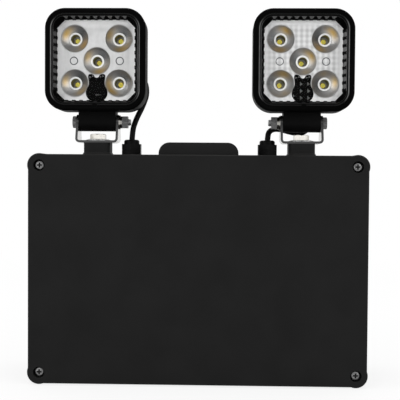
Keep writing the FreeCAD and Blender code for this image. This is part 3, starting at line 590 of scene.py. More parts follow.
def brush_lines(surface, stretch):
    """Fine lines of brushed metal, its clouds, and how much of the paler tone both give."""
    lines = surface.noise(BRUSH_SCALE, 4.0, stretch, 0.65)
    cloud = surface.noise(60.0)
    return lines, cloud, surface.plus(surface.level(lines, 0.0, 0.6), surface.level(cloud, 0.0, 0.4))


def brushed(name, dark, light, roughness, stretch):
    """Brushed metal with fine lines along the short direction of its stretch."""
    surface = Surface(name, roughness, 1.0)
    lines, cloud, share = brush_lines(surface, stretch)
    surface.set(Base_Color=surface.mix(share, dark, light))
    fine = surface.level(lines, roughness - 0.08, roughness + 0.08)
    surface.set(Roughness=surface.plus(fine, surface.level(cloud, -0.04, 0.05)))
    surface.set(Normal=surface.bump(lines, 0.4, 0.00003))
    return surface.material


def strap_finish(name, dark, light, cut):
    """Brushed strap whose sheared edges, at its front and back, are rougher than its faces and painted dark
    as painted shade.
    """
    surface = Surface(name, 0.22, 1.0)
    lines, _, share = brush_lines(surface, (1.0, 0.05, 1.0))
    faces = surface.mix(share, dark, light)
    depthwise = surface.math("ABSOLUTE", surface.parts(surface.facing)["Y"])
    sheared_and_shaded = surface.level(depthwise, 0.0, 1.0, start=0.7, end=0.95)
    # Sheared edges: rougher, and painted dark as painted shade.
    surface.set(Base_Color=surface.mix(sheared_and_shaded, faces, cut))
    surface.set(Roughness=surface.plus(surface.level(lines, 0.16, 0.26), surface.times(sheared_and_shaded, 0.2)))
    surface.set(Normal=surface.bump(lines, 0.3, 0.00001))
    return surface.material


def plated(name, dark, light, roughness, scale=420.0, depth=0.00002, metal=1.0):
    """Turned or pressed plated metal: small clouds and fine scratches."""
    surface = Surface(name, roughness, metal)
    cloud = surface.noise(scale, 4.0)
    scratch = surface.noise(SCRATCH_SCALE, 2.0, SCRATCH_STRETCH, 0.7)
    share = surface.plus(surface.level(cloud, 0.0, 0.7), surface.level(scratch, -0.15, 0.3))
    surface.set(Base_Color=surface.mix(share, dark, light))
    surface.set(Roughness=surface.level(cloud, roughness - 0.07, roughness + 0.1))
    surface.set(Normal=surface.bump(scratch, 0.35, depth))
    return surface.material


def screw_finish(name):
    """Satin plated steel, painted dark in the cross recess as painted shade."""
    surface = Surface(name, 0.34, 1.0)
    cloud = surface.noise(420.0)
    scratch = surface.noise(SCRATCH_SCALE, 2.0, SCRATCH_STRETCH, 0.7)
    share = surface.plus(surface.level(cloud, 0.0, 0.7), surface.level(scratch, -0.1, 0.3))
    steel = surface.mix(share, grey(0.15), grey(0.25))
    # The cross recess is painted near black: painted shade.
    surface.set(Base_Color=surface.mix(surface.attribute("pit"), steel, grey(0.012)))
    surface.set(Roughness=surface.level(cloud, 0.28, 0.42))
    surface.set(Normal=surface.bump(scratch, 0.25, 0.00001))
    return surface.material


def board_finish(name, mask_dark, mask_light, copper):
    """A circuit board: solder mask over faint tracks."""
    surface = Surface(name, 0.35)
    bricks = {"Vector": surface.place, "Scale": 180.0, "Mortar Size": 0.03}
    bricks.update({"Color1": grey(0.0), "Color2": grey(0.15), "Mortar": grey(1.0)})
    tracks = surface.add("ShaderNodeTexBrick", bricks).outputs["Fac"]
    cloud = surface.noise(90.0)
    mask = surface.mix(surface.level(cloud, 0.0, 1.0), mask_dark, mask_light)
    faint = surface.level(tracks, 0.0, 0.5, start=0.0, end=1.0)
    surface.set(Base_Color=surface.mix(faint, mask, copper))
    surface.set(Roughness=surface.level(cloud, 0.3, 0.45))
    surface.set(Normal=surface.bump(tracks, 0.3, 0.00003))
    return surface.material


def laminated(name, dark, light):
    """Stacked iron sheets."""
    surface = Surface(name, 0.45, 0.8)
    wave = {"Vector": surface.place, "Scale": 260.0, "Distortion": 0.4, "Detail": 2.0}
    sheets = surface.add("ShaderNodeTexWave", wave).outputs["Fac"]
    surface.set(Base_Color=surface.mix(sheets, dark, light))
    surface.set(Roughness=surface.level(surface.noise(120.0), 0.35, 0.6))
    surface.set(Normal=surface.bump(sheets, 0.5, 0.00005))
    return surface.material


def clear_lens(name):
    """Clear moulded lens with shallow upright flutes, which lets light through to what is behind it."""
    surface = Surface(name, 0.03)
    haze = surface.noise(60.0)
    surface.set(Base_Color=surface.mix(surface.level(haze, 0.0, 1.0), grey(0.98), tone(0.96, 0.97, 0.97)))
    surface.set(Transmission_Weight=1.0, IOR=LENS_INDEX)
    surface.set(Roughness=surface.level(haze, 0.01, 0.05))
    turn = surface.times(surface.parts(surface.place)["X"], 2 * math.pi / FLUTE_PITCH)
    flutes = surface.bump(surface.math("SINE", turn), 0.5, FLUTE_DEPTH)
    surface.set(Normal=surface.bump(surface.noise(220.0, 2.0), 0.06, 0.00004, flutes))
    through = surface.add("ShaderNodeBsdfTransparent", {"Color": grey(0.97)}).outputs[0]
    path = surface.add("ShaderNodeLightPath").outputs
    shown = surface.shader.outputs[0]
    for ray in ("Is Shadow Ray", "Is Diffuse Ray", "Is Glossy Ray"):
        shown = surface.mix_shaders(path[ray], shown, through)
    surface.show(shown)
    return surface.material


def mirror_plate(name, quilting, side):
    """Metallised reflector: bright plate, more or less quilted, dishes with painted shade and painted amber
    reflections, and white collars.
    """
    surface = Surface(name, 0.3, 1.0)
    across, _, upward = surface.parts(surface.place)
    turn = 2 * math.pi / (QUILT_PITCH * MM)
    column = surface.math("SINE", surface.times(across, turn))
    row = surface.math("SINE", surface.times(upward, turn))
    quilt = surface.plus(column, surface.times(row, 0.6))
    blotch = surface.noise(240.0, 4.0, (1.0, 1.0, 0.45), 0.6)
    fine = surface.noise(900.0, 3.0, (1.0, 1.0, 0.35))
    bowl = surface.attribute("bowl")
    throat = surface.attribute("throat")
    cloudy = surface.level(blotch, 0.0, 1.0, start=0.25, end=0.75)
    # On the quilted plate the tone follows the cushions as painted shade and painted light; otherwise it is
    # random blotches.
    blotch_and_cushion_shade = surface.mix(quilting, cloudy, surface.level(quilt, 0.0, 1.0, start=-1.2, end=1.2))
    sheet = surface.mix(blotch_and_cushion_shade, grey(0.50 - 0.05 * quilting), grey(0.62 + 0.06 * quilting))
    middle = lamp_middle(side)
    off_x = surface.math("ABSOLUTE", surface.math("SUBTRACT", across, middle.x))
    off_z = surface.math("ABSOLUTE", surface.math("SUBTRACT", upward, middle.z))
    # Painted light: the plate is paler towards its border, where the bezel shades it.
    border = surface.level(surface.most(off_x, off_z), 0.0, 1.0, *PLATE_LIT_BORDER)
    silver = surface.mix(bowl, surface.mix(border, sheet, PLATE_PAINTED_LIGHT), DISH_SILVER)
    # Painted shade and painted amber reflections of the light sources over the dishes' silver.
    shade = surface.times(surface.attribute("shade"), surface.level(fine, 0.98, 1.02))
    amber_reflection = surface.times(surface.attribute("amber_reflection"), surface.level(blotch, 0.8, 1.05))
    painted_dish = surface.mix(amber_reflection, surface.mix(shade, silver, DISH_PAINTED_SHADE), DISH_AMBER_REFLECTION)
    ringed = surface.mix(surface.attribute("collar"), painted_dish, COLLAR_WHITE)
    # The throats get painted shade.
    surface.set(Base_Color=surface.mix(throat, ringed, THROAT_PAINTED_SHADE))
    mirror = surface.most(bowl, throat)
    dull = surface.math("SUBTRACT", 1.0, mirror)
    surface.set(Metallic=surface.level(mirror, 0.15, 0.9, start=0.0, end=1.0))
    rough = surface.times(dull, surface.level(blotch, 0.2, 0.3))
    surface.set(Roughness=surface.plus(rough, surface.level(fine, 0.36, 0.39)))
    embossed = surface.bump(surface.times(quilt, dull), 0.5 * quilting, 0.00006)
    rolled = surface.bump(surface.times(blotch, dull), 0.15, 0.00005, embossed)
    surface.set(Normal=surface.bump(surface.times(fine, dull), 0.1, 0.00001, rolled))
    return surface.material


def phosphor(name):
    """Yellow light source with a faint painted glow, though the lamp is off, on a dark base."""
    surface = Surface(name, 0.4)
    grain = surface.noise(2600.0)
    cloud = surface.noise(500.0)
    dome = surface.attribute("dome")
    body = surface.mix(surface.level(cloud, 0.0, 1.0), tone(0.80, 0.70, 0.08), tone(0.92, 0.84, 0.20))
    emitter = surface.mix(surface.level(grain, 0.0, 0.4), body, tone(0.95, 0.88, 0.45))
    surface.set(Base_Color=surface.mix(dome, tone(0.20, 0.18, 0.10), emitter))
    surface.set(Roughness=surface.level(grain, 0.3, 0.5))
    # Painted glow: the dome glows though the lamp is off.
    surface.set(Emission_Color=surface.mix(dome, grey(0.0), body), Emission_Strength=PAINTED_GLOW)
    surface.set(Normal=surface.bump(grain, 0.4, 0.00003))
    return surface.material


def cable_jacket(name):
    """Soft black cable sheath: satin, with faint drag lines and a dusting of scuffs."""
    surface = Surface(name, 0.4, 0.0, 0.05)
    drag = surface.noise(1400.0, 3.0, (1.0, 1.0, 0.15))
    scuff = surface.noise(160.0, 4.0)
    paler = surface.level(scuff, 0.0, 1.0, start=0.5, end=0.8)
    surface.set(Base_Color=surface.mix(paler, grey(0.0015), grey(0.003)))
    surface.set(Roughness=surface.level(scuff, 0.34, 0.5))
    surface.set(Normal=surface.bump(drag, 0.3, 0.00004))
    return surface.material


def highlight_line(name, dark, light):
    """Black moulding painted paler where its lit attribute is high: a painted highlight."""
    surface = Surface(name, 0.36, 0.0, 0.05)
    fine = surface.noise(1900.0)
    cloud = surface.noise(260.0)
    # Painted highlight: the lit share turns the black paler.
    share = surface.times(surface.attribute("lit"), surface.level(cloud, 0.75, 1.1))
    surface.set(Base_Color=surface.mix(share, dark, light))
    surface.set(Roughness=surface.level(fine, 0.3, 0.42))
    surface.set(Normal=surface.bump(fine, 0.4, 0.00002))
    return surface.material


# Moulded surfaces: dark and light tone, roughness, grain and its depth, specular level, wear and dust.
MOULDED = {
    "enclosure_black": (grey(0.0082), grey(0.0102), 0.55, 1500.0, 0.00005, 0.05, 0.012, 0.08),
    # A lighter copy of enclosure_black: partly the back box's own tone, partly painted light against the
    # shade that the cover and heads cast on it.
    "enclosure_back_lightened": (grey(0.0108), grey(0.0132), 0.55, 1500.0, 0.00005, 0.05, 0.012, 0.08),
    "seal_rubber": (grey(0.006), grey(0.012), 0.7, 2200.0, 0.00005, 0.3),
    "battery_case": (grey(0.012), grey(0.022), 0.5, 1100.0, 0.00006),
    "capacitor_can": (tone(0.008, 0.010, 0.03), tone(0.014, 0.018, 0.05), 0.35, 1800.0, 0.00003),
    "terminal_block": (tone(0.26, 0.28, 0.26), tone(0.34, 0.36, 0.34), 0.45, 1500.0, 0.00005),
    "wire_black": (grey(0.008), grey(0.015), 0.42, 1600.0, 0.00004),
    "wire_red": (tone(0.30, 0.010, 0.008), tone(0.42, 0.018, 0.012), 0.42, 1600.0, 0.00004),
    "gland_nylon": (grey(0.0015), grey(0.003), 0.32, 1700.0, 0.00005, 0.04),
    "head_black": (grey(0.0015), grey(0.003), 0.55, 800.0, 0.00009, 0.04, 0.02, 0.1),
    "bezel_black": (grey(0.001), grey(0.002), 0.45, 1900.0, 0.00003, 0.008),
    "boot_rubber": (grey(0.0006), grey(0.0012), 0.3, 1400.0, 0.00004, 0.03),
    # boot_stud: a paler copy of the boot's black, for painted glints.
    "boot_stud": (grey(0.08), grey(0.15), 0.3, 1400.0, 0.00001, 0.3),
}

# Plated metals: dark and light tone, roughness, scale of the clouds, depth of the scratches, share of metal.
PLATED = {
    "screw_steel": (tone(0.16, 0.16, 0.16), tone(0.36, 0.36, 0.35), 0.38),
    "terminal_metal": (grey(0.55), grey(0.75), 0.3),
    "fuse_brass": (tone(0.62, 0.43, 0.16), tone(0.83, 0.62, 0.28), 0.28),
    "bright_bolt": (tone(0.32, 0.31, 0.29), tone(0.48, 0.47, 0.44), 0.2, 420.0, 0.000008),
    "pivot_steel": (grey(0.22), grey(0.40), 0.36, 420.0, 0.000008, 0.72),
    "washer_steel": (grey(0.16), grey(0.90), 0.3, 800.0, 0.000008, 0.7),
}

# The other surfaces: their tones, from dark to light.
BOARD_GREENS = (tone(0.005, 0.05, 0.018), tone(0.008, 0.085, 0.03), tone(0.03, 0.16, 0.06))
BOARD_GREYS = (grey(0.55), grey(0.68), grey(0.75))
# The third strap tone is the painted shade of the sheared edges.
STRAP_TONES = (tone(0.52, 0.52, 0.51), tone(0.74, 0.73, 0.71), grey(0.07))
FINISHES = {
    **{name: moulded(name, *look) for name, look in MOULDED.items()},
    **{name: plated(name, *look) for name, look in PLATED.items()},
    "plated_band": brushed("plated_band", grey(0.45), grey(0.66), 0.34, (0.06, 1.0, 1.0)),
    "stainless_strap": strap_finish("stainless_strap", *STRAP_TONES),
    "screw_head": screw_finish("screw_head"),
    "circuit_board": board_finish("circuit_board", *BOARD_GREENS),
    "led_board_metal": board_finish("led_board_metal", *BOARD_GREYS),
    "laminated_iron": laminated("laminated_iron", grey(0.09), grey(0.26)),
    "cable_jacket": cable_jacket("cable_jacket"),
    # The pale tone of bezel_line is a painted highlight.
    "bezel_line": highlight_line("bezel_line", grey(0.002), grey(0.125)),
    "lens_clear": clear_lens("lens_clear"),
    "reflector_bright": mirror_plate("reflector_bright", 0.15, "left"),
    "reflector_quilted": mirror_plate("reflector_quilted", 1.0, "right"),
    "led_yellow": phosphor("led_yellow"),
}
REFLECTOR_FINISH = {"left": "reflector_bright", "right": "reflector_quilted"}

# Finishes of the CAD nodes: those of their slots, apart from a few of their own.
NODE_FINISHES = {subpart["node"]: subpart["material_slot"] for subpart in frame["record"]["subparts"]}
# The back box gets the lighter copy: partly its own tone, partly painted light.
NODE_FINISHES["back_box"] = "enclosure_back_lightened"
for side in SIDES:
    NODE_FINISHES[f"{side}_base_washer"] = "washer_steel"
    NODE_FINISHES[f"{side}_pivot_nut"] = "pivot_steel"
for node_name, finish in NODE_FINISHES.items():
    for place in nodes[node_name].material_slots:
        place.material = FINISHES[finish]


# Lamp leads.

def route_line(name, points):
    """Points along the smooth line of a route, whose given points are its control points."""
    curve = bpy.data.curves.new(name, "CURVE")
    curve.dimensions = "3D"
    curve.resolution_u = ROUTE_STEPS
    spline = curve.splines.new("NURBS")
    spline.points.add(len(points) - 1)
    for control, point in zip(spline.points, points):
        control.co = (*point, 1.0)
    spline.order_u = ROUTE_ORDER
    spline.use_endpoint_u = True
    holder = link(name, curve)
    bpy.context.view_layer.update()
    traced = bpy.data.meshes.new_from_object(holder)
    line = [vertex.co.copy() for vertex in traced.vertices]
    bpy.data.objects.remove(holder)
    bpy.data.meshes.remove(traced)
    return line


def nearest(line, place):
    """Index of the line's point nearest to a place."""
    return min(range(len(line)), key=lambda step: (line[step] - Vector(place)).length)


def tube(name, line):
    """A closed round tube along a line of points."""
    shape = bmesh.new()
    forward = (line[1] - line[0]).normalized()
    across = forward.orthogonal().normalized()
    rings = []
    for step, point in enumerate(line):
        before = line[max(step - 1, 0)]
        after = line[min(step + 1, len(line) - 1)]
        forward = (after - before).normalized()
        across = (across - forward * across.dot(forward)).normalized()
        upward = forward.cross(across)
        ring = []
        for cosine, sine in circle(TUBE_SIDES):
            ring.append(shape.verts.new(point + (across * cosine + upward * sine) * LEAD_RADIUS))
        rings.append(ring)
    skin(shape, rings)
    piece = mesh_piece(name, shape, LEAD_CRISP)
    paint(piece, FINISHES["cable_jacket"])
    return piece


def lamp_lead(side):
    """One lead as three tubes along one route: a tail that rides on the box, and two more stretches."""
    line = route_line(f"{side}_lead_route", LEAD_ROUTES[side])
    hidden = nearest(line, (*LEAD_EXIT[side][:2], LEAD_HIDDEN))
    middle = nearest(line, LEAD_MIDDLE[side])
    lower = line[hidden:middle + 1]
    upper = line[middle:]
    tail_tube = tube(f"{side}_lead_tail", line[:hidden + 1])
    lower_tube = tube(f"{side}_lead_lower", lower)
    upper_tube = tube(f"{side}_lead_upper", upper)
    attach(tail_tube, "box")
    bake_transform(lower_tube)
    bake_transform(upper_tube)
    for piece in (tail_tube, lower_tube, upper_tube):
        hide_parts(f"{side}_lamp_cable")


# Reflectors.

def dish_profile():
    """Radius, depth and zone, from the plate's front down the throat and up the dish's back."""
    dish = []
    for step in range(1, DISH_RINGS + 1):
        radius = DISH_RADIUS + (COLLAR_RADIUS - DISH_RADIUS) * step / DISH_RINGS
        share = (DISH_RADIUS ** 2 - radius ** 2) / (DISH_RADIUS ** 2 - COLLAR_RADIUS ** 2)
        dish.append((radius, (DISH_DEPTH + DISH_BEAD) * share - DISH_BEAD))
    behind = [THROAT_BACK]
    behind += [(radius, depth + PLATE_BACK) for radius, depth in reversed(dish)]
    behind.append((DISH_RIM, PLATE_BACK))
    zones = (
        ("plate", [(DISH_RIM, 0.0)]), ("bead", BEAD_PROFILE), ("dish", dish), ("collar", COLLAR_PROFILE),
        ("throat", THROAT_PROFILE), ("plate", behind),
    )
    return [(radius, depth, zone) for zone, profile in zones for radius, depth in profile]


def angle_gap(first, second):
    """Smallest difference between two directions, in degrees."""
    return abs((first - second + 180) % 360 - 180)


def bell(value, width):
    """A smooth hump, 1 at 0."""
    return math.exp(-(value / width) ** 2)


def dish_painted_light(heading, along, light_paint):
    """Painted shade and painted amber reflection of a dish in a direction, at a share of the way up from the
    collar.
    """
    dark, patches = light_paint
    shade = SHADE_MOST * bell(angle_gap(heading, dark), SHADE_WIDTH) * (SHADE_DEEP - SHADE_FALL * along)
    amber_reflection = sum(weight * bell(angle_gap(heading, place), width) for place, width, weight in patches)
    return SHADE_LEAST + shade, AMBER_REFLECTION_MOST * amber_reflection * bell(along - AMBER_REFLECTION_PLACE, AMBER_REFLECTION_REACH)


def reflector(side):
    """Plate with five dishes, collars and throats, and two ring marks."""
    node = f"{side}_reflector"
    middle = reflector_middle(side)
    shape = bmesh.new()
    layers = {name: shape.verts.layers.float.new(name) for name in DISH_LAYERS}
    outline = rounded_square(*half_size(node), PLATE_CORNER, PLATE_STEPS)
    border = [[corner(shape, middle, x, depth, z) for x, z in outline] for depth in (0.0, PLATE_BACK)]
    skin(shape, border, closed_ends=False)
    front_edges = ring_edges(shape, border[0])
    back_edges = ring_edges(shape, border[1])
    profile = dish_profile()
    for (x, z), light_paint in zip(DISH_PLACES, DISH_PAINTED_LIGHT[side]):
        origin = middle + (ACROSS * x + UPWARD * z) * MM
        rings = turned(shape, origin, [(radius, depth) for radius, depth, _ in profile], DISH_STEPS)
        skin(shape, rings, closed_ends=False)
        front_edges += ring_edges(shape, rings[0])
        back_edges += ring_edges(shape, rings[-1])
        for (radius, _, zone), ring in zip(profile, rings):
            along = (radius - COLLAR_RADIUS) / (DISH_RADIUS - COLLAR_RADIUS)
            for step, vertex in enumerate(ring):
                vertex[layers["bowl"]] = float(zone in ("bead", "dish"))
                vertex[layers["collar"]] = float(zone == "collar")
                vertex[layers["throat"]] = float(zone == "throat")
                # Each dish carries painted shade and a painted amber reflection by direction.
                if zone == "dish":
                    shade, amber_reflection = dish_painted_light(360 * step / DISH_STEPS, along, light_paint)
                    vertex[layers["shade"]] = shade
                    vertex[layers["amber_reflection"]] = amber_reflection
    for edges, facing in ((front_edges, -1), (back_edges, 1)):
        bmesh.ops.triangle_fill(
            shape, use_beauty=True, use_dissolve=False, edges=edges, normal=(0, facing, 0),
        )
    for x in MARK_PLACES:
        rings = turned(shape, middle + ACROSS * x * MM, MARK_PROFILE, MARK_STEPS)
        skin(shape, rings + rings[:1], closed_ends=False)
        for vertex in sum(rings, []):
            vertex[layers["shade"]] = 1.0
    piece = mesh_piece(f"{side}_reflector_dishes", shape, REFLECTOR_CRISP)
    dress(piece, REFLECTOR_FINISH[side], f"{side}_head", node)


def quilt_room(x, z, half_x, half_z):
    """How far a place on the plate is from the plate's border and from the dishes, in millimetres."""
    room = min(half_x - abs(x), half_z - abs(z))
    past_x = abs(x) - half_x + PLATE_CORNER
    past_z = abs(z) - half_z + PLATE_CORNER
    if past_x > 0 and past_z > 0:
        room = PLATE_CORNER - math.hypot(past_x, past_z)
    for centre_x, centre_z in DISH_PLACES:
        room = min(room, math.hypot(x - centre_x, z - centre_z) - DISH_RIM)
    return room


def reflector_quilt(side):
    """A thin sheet of low cushions over a reflector's plate, flat along its border and round the dishes."""
    middle = reflector_middle(side)
    half_x, half_z = half_size(f"{side}_reflector")
    shape = bmesh.new()
    corners = {}

    def room_at(place):
        return quilt_room(place[0] * QUILT_STEP, place[1] * QUILT_STEP, half_x, half_z)

    def cushion(place):
        """The corner at a column and row, made when it is first asked for."""
        if place not in corners:
            x = place[0] * QUILT_STEP
            z = place[1] * QUILT_STEP
            across = math.sin(2 * math.pi * (middle.x / MM + x) / QUILT_PITCH)
            upward = math.sin(2 * math.pi * (middle.z / MM + z) / QUILT_PITCH)
            fade = min(1.0, room_at(place) / QUILT_FADE)
            rise = QUILT_LEAST + QUILT_HEIGHT * fade * (2 + across + upward) / 4
            corners[place] = corner(shape, middle, x, -rise, z)
        return corners[place]

    columns = int(half_x / QUILT_STEP)
    rows = int(half_z / QUILT_STEP)
    faces = []
    for column in range(-columns, columns):
        for row in range(-rows, rows):
            square = ((column, row), (column + 1, row), (column + 1, row + 1), (column, row + 1))
            if min(room_at(place) for place in square) > QUILT_GAP:
                faces.append(shape.faces.new([cushion(place) for place in square]))
    for part in bmesh.ops.extrude_face_region(shape, geom=faces)["geom"]:
        if isinstance(part, bmesh.types.BMVert):
            part.co.y = middle.y + QUILT_SINK * MM
    piece = mesh_piece(f"{side}_reflector_quilt", shape, QUILT_CRISP)
    dress(piece, REFLECTOR_FINISH[side], f"{side}_head")


# Bezels.

def bezel_ribs(side):
    """Short ridges set like spokes round the four corners of a bezel's step."""
    middle = lamp_middle(side)
    half_x, half_z = half_size(f"{side}_bezel")
    shape = bmesh.new()
    for quarter, (sign_x, sign_z) in enumerate(QUARTERS):
        for step in range(RIBS_PER_CORNER):
            turn = math.radians(90 * quarter + 90 * (step + 0.5) / RIBS_PER_CORNER)
            rings = []
            for along, share in RIB_TAPER:
                out = BEZEL_CORNER - RIB_INSET + along * RIB_LENGTH
                ring = []
                for across, height in RIB_SECTION:
                    aside = across * RIB_WIDTH
                    x = sign_x * (half_x - BEZEL_CORNER) + out * math.cos(turn) - aside * math.sin(turn)
                    z = sign_z * (half_z - BEZEL_CORNER) + out * math.sin(turn) + aside * math.cos(turn)
                    depth = RIB_SEAT + RIB_HEIGHT * max(height, height * share)
                    ring.append(corner(shape, middle, x, depth, z))
                rings.append(ring)
            skin(shape, rings)
    piece = mesh_piece(f"{side}_bezel_ribs", shape, FLAT)
    dress(piece, "bezel_black", f"{side}_head")


def bezel_lines(side):
    """Two fine rounded lines that follow a bezel's outline on its front and on its step."""
    middle = lamp_middle(side)
    half_x, half_z = half_size(f"{side}_bezel")
    shape = bmesh.new()
    lit = shape.verts.layers.float.new("lit")
    for inset, radius, depth, outer_strength, inner_strength in BEADS:
        line, inner = (
            rounded_square(half_x - edge, half_z - edge, BEZEL_CORNER - edge, BEAD_STEPS)
            for edge in (inset, inset + 1)
        )
        rings = []
        for cosine, sine in circle(BEAD_SIDES):
            shift = radius * cosine
            ring = []
            for (x, z), (inner_x, inner_z) in zip(line, inner):
                place_x = x + (inner_x - x) * shift
                place_z = z + (inner_z - z) * shift
                vertex = corner(shape, middle, place_x, depth + BEAD_SEAT + radius * sine, place_z)
                upright = 1 + (abs(x) - half_x + inset) / LINE_FADE
                strength = outer_strength if x * OUTWARD[side] > 0 else inner_strength
                # Share of painted highlight, strongest on the upright sides and on the lamp's outer side.
                vertex[lit] = max(LINE_LEAST, strength * min(1.0, upright))
                ring.append(vertex)
            rings.append(ring)
        skin(shape, rings + rings[:1], closed_ends=False)
    piece = mesh_piece(f"{side}_bezel_lines", shape, ROUND)
    dress(piece, "bezel_line", f"{side}_head")


def bezel_wedges(side):
    """Wedges that widen outwards from the teeth, and a panel on the lamp's outer slope; the top and bottom
    wedges and the panel carry painted highlights.
    """
    middle = lamp_middle(side)
    half_x, half_z = half_size(f"{side}_bezel")
    run_x = half_x - SLOPE_INSET - WINDOW_HALF_X
    run_z = half_z - SLOPE_INSET - WINDOW_HALF_Z
    drop = SLOPE_FOOT - SLOPE_TOP
    shape = bmesh.new()
    lit = shape.verts.layers.float.new("lit")

    def solid(along, outward, half, outlines, share):
        """A closed solid at one side of the window, from places along it, out from it and in depth."""
        rings = []
        for outline in outlines:
            ring = []
            for place, out, depth in outline:
                x, _, z = along * place + outward * (half + out)
                ring.append(corner(shape, middle, x, depth, z))
                # Each corner carries its share of painted highlight.
                ring[-1][lit] = share
            rings.append(ring)
        skin(shape, rings)

    def on_slope(outline, run, rise):
        """A flat outline, sunk into a slope and raised over it."""
        length = math.hypot(run, drop)
        return [
            [
                (place, out - height * drop / length, SLOPE_FOOT - drop * out / run - height * run / length)
                for place, out in outline
            ]
            for height in (-WEDGE_SINK, rise)
        ]

    def stem(place, jut):
        """The inner end of a tooth, which juts into the window."""
        start = place - STEM_HALF
        end = place + STEM_HALF
        outline = ((start, STEM_ROOT), (end, STEM_ROOT), (end, -jut), (start, -jut))
        return [[(step, out, depth) for step, out in outline] for depth in STEM_DEPTHS]

    for along, outward, half, run, widest, share in (
        (ACROSS, UPWARD, WINDOW_HALF_Z, run_z, WEDGE_HALF_LEVEL, WEDGE_LIT_TOP),
        (ACROSS, -UPWARD, WINDOW_HALF_Z, run_z, WEDGE_HALF_LEVEL, WEDGE_LIT_BOTTOM),
        (UPWARD, ACROSS, WINDOW_HALF_X, run_x, WEDGE_HALF_UPRIGHT, 0.0),
        (UPWARD, -ACROSS, WINDOW_HALF_X, run_x, WEDGE_HALF_UPRIGHT, 0.0),
    ):
        outer_side = outward.x == OUTWARD[side]
        for step in range(WEDGES_PER_SIDE):
            place = (step - (WEDGES_PER_SIDE - 1) / 2) * WEDGE_PITCH
            wedge = (
                (place - widest, WEDGE_OUT), (place + widest, WEDGE_OUT),
                (place + WEDGE_TIP, WEDGE_IN), (place - WEDGE_TIP, WEDGE_IN),
            )
            solid(along, outward, half, on_slope(wedge, run, WEDGE_RISE), share)
            if outer_side or outward.z > 0:
                jut = STEM_REACH_OUTER if outer_side else STEM_REACH_TOP
                solid(along, outward, half, stem(place, jut), 0.0)
        if outer_side:
            outer = run - PANEL_EDGE
            panel = (
                (-PANEL_REACH, outer), (PANEL_REACH, outer),
                (PANEL_REACH, PANEL_EDGE), (-PANEL_REACH, PANEL_EDGE),
            )
            solid(along, outward, half, on_slope(panel, run, PANEL_RISE), PANEL_LIT[side])
    piece = mesh_piece(f"{side}_bezel_wedges", shape, FLAT)
    dress(piece, "bezel_line", f"{side}_head")


# Wire boots.

def boot_foot(side):
    """The lowest point of a boot, on the reflector's front."""
    low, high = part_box(f"{side}_wire_boot")
    return Vector(((low.x + high.x) / 2, reflector_middle(side).y, low.z))


def boot_points():
    """The whole outline of a boot as a smooth closed line through its given points."""
    knots = list(BOOT_OUTLINE) + [(-x, z) for x, z in reversed(BOOT_OUTLINE) if x > 0]
    count = len(knots)
    outline = []
    for index in range(count):
        before, start, end, after = (Vector(knots[(index + shift) % count]) for shift in (-1, 0, 1, 2))
        for step in range(BOOT_STEPS):
            t = step / BOOT_STEPS
            outline.append(0.5 * (
                2 * start + (end - before) * t + (2 * before - 5 * start + 4 * end - after) * t ** 2
                + (3 * start - before - 3 * end + after) * t ** 3
            ))
    return outline


def wire_boot(side):
    """Soft moulded boot over the wire entry: a shallow pear with two ears and a few folds."""
    foot = boot_foot(side)
    folds = BOOT_FOLD_DEPTH[side]
    shape = bmesh.new()
    rings = []
    for share, height in BOOT_RINGS:
        ring = []
        for x, z in boot_points():
            fold = folds * math.sin(BOOT_FOLDS * math.atan2(z - BOOT_MIDDLE, x)) * (1 - share)
            rise = height * (BOOT_HEIGHT[side] - folds) + fold
            ring.append(corner(shape, foot, x * share, -rise, BOOT_MIDDLE + (z - BOOT_MIDDLE) * share))
        rings.append(ring)
    skin(shape, rings)
    piece = mesh_piece(f"{side}_boot", shape, BOOT_CRISP)
    dress(piece, "boot_rubber", f"{side}_head", f"{side}_wire_boot")


def boot_studs(side):
    """Low three-sided studs, painted paler as glints: on the ears and one crease of the left boot, all over
    the right one.
    """
    foot = boot_foot(side)
    shape = bmesh.new()
    for x, z, half, length in BOOT_STUDS[side]:
        rings = []
        for share, rise in STUD_RINGS:
            rings.append([
                corner(shape, foot, x + length * (1 / 3 + along * share), -rise, z + half * across * share)
                for along, across in STUD_CORNERS
            ])
        skin(shape, rings)
    piece = mesh_piece(f"{side}_boot_studs", shape, FLAT)
    dress(piece, "boot_stud", f"{side}_head")


# Cover screws.

def in_cross(x, z):
    """Whether a place is inside the cross recess of a screw head."""
    small, large = sorted((abs(x), abs(z)))
    return math.hypot(x, z) < CROSS_CORE or (small < CROSS_WIDTH / 2 and large < CROSS_LENGTH / 2)


def head_height(radius):
    """Height of a pan head over its seat at that radius."""
    return SCREW_SIDE + (SCREW_HEIGHT - SCREW_SIDE) * math.sqrt(max(0.0, 1 - (radius / SCREW_HEAD) ** 4))


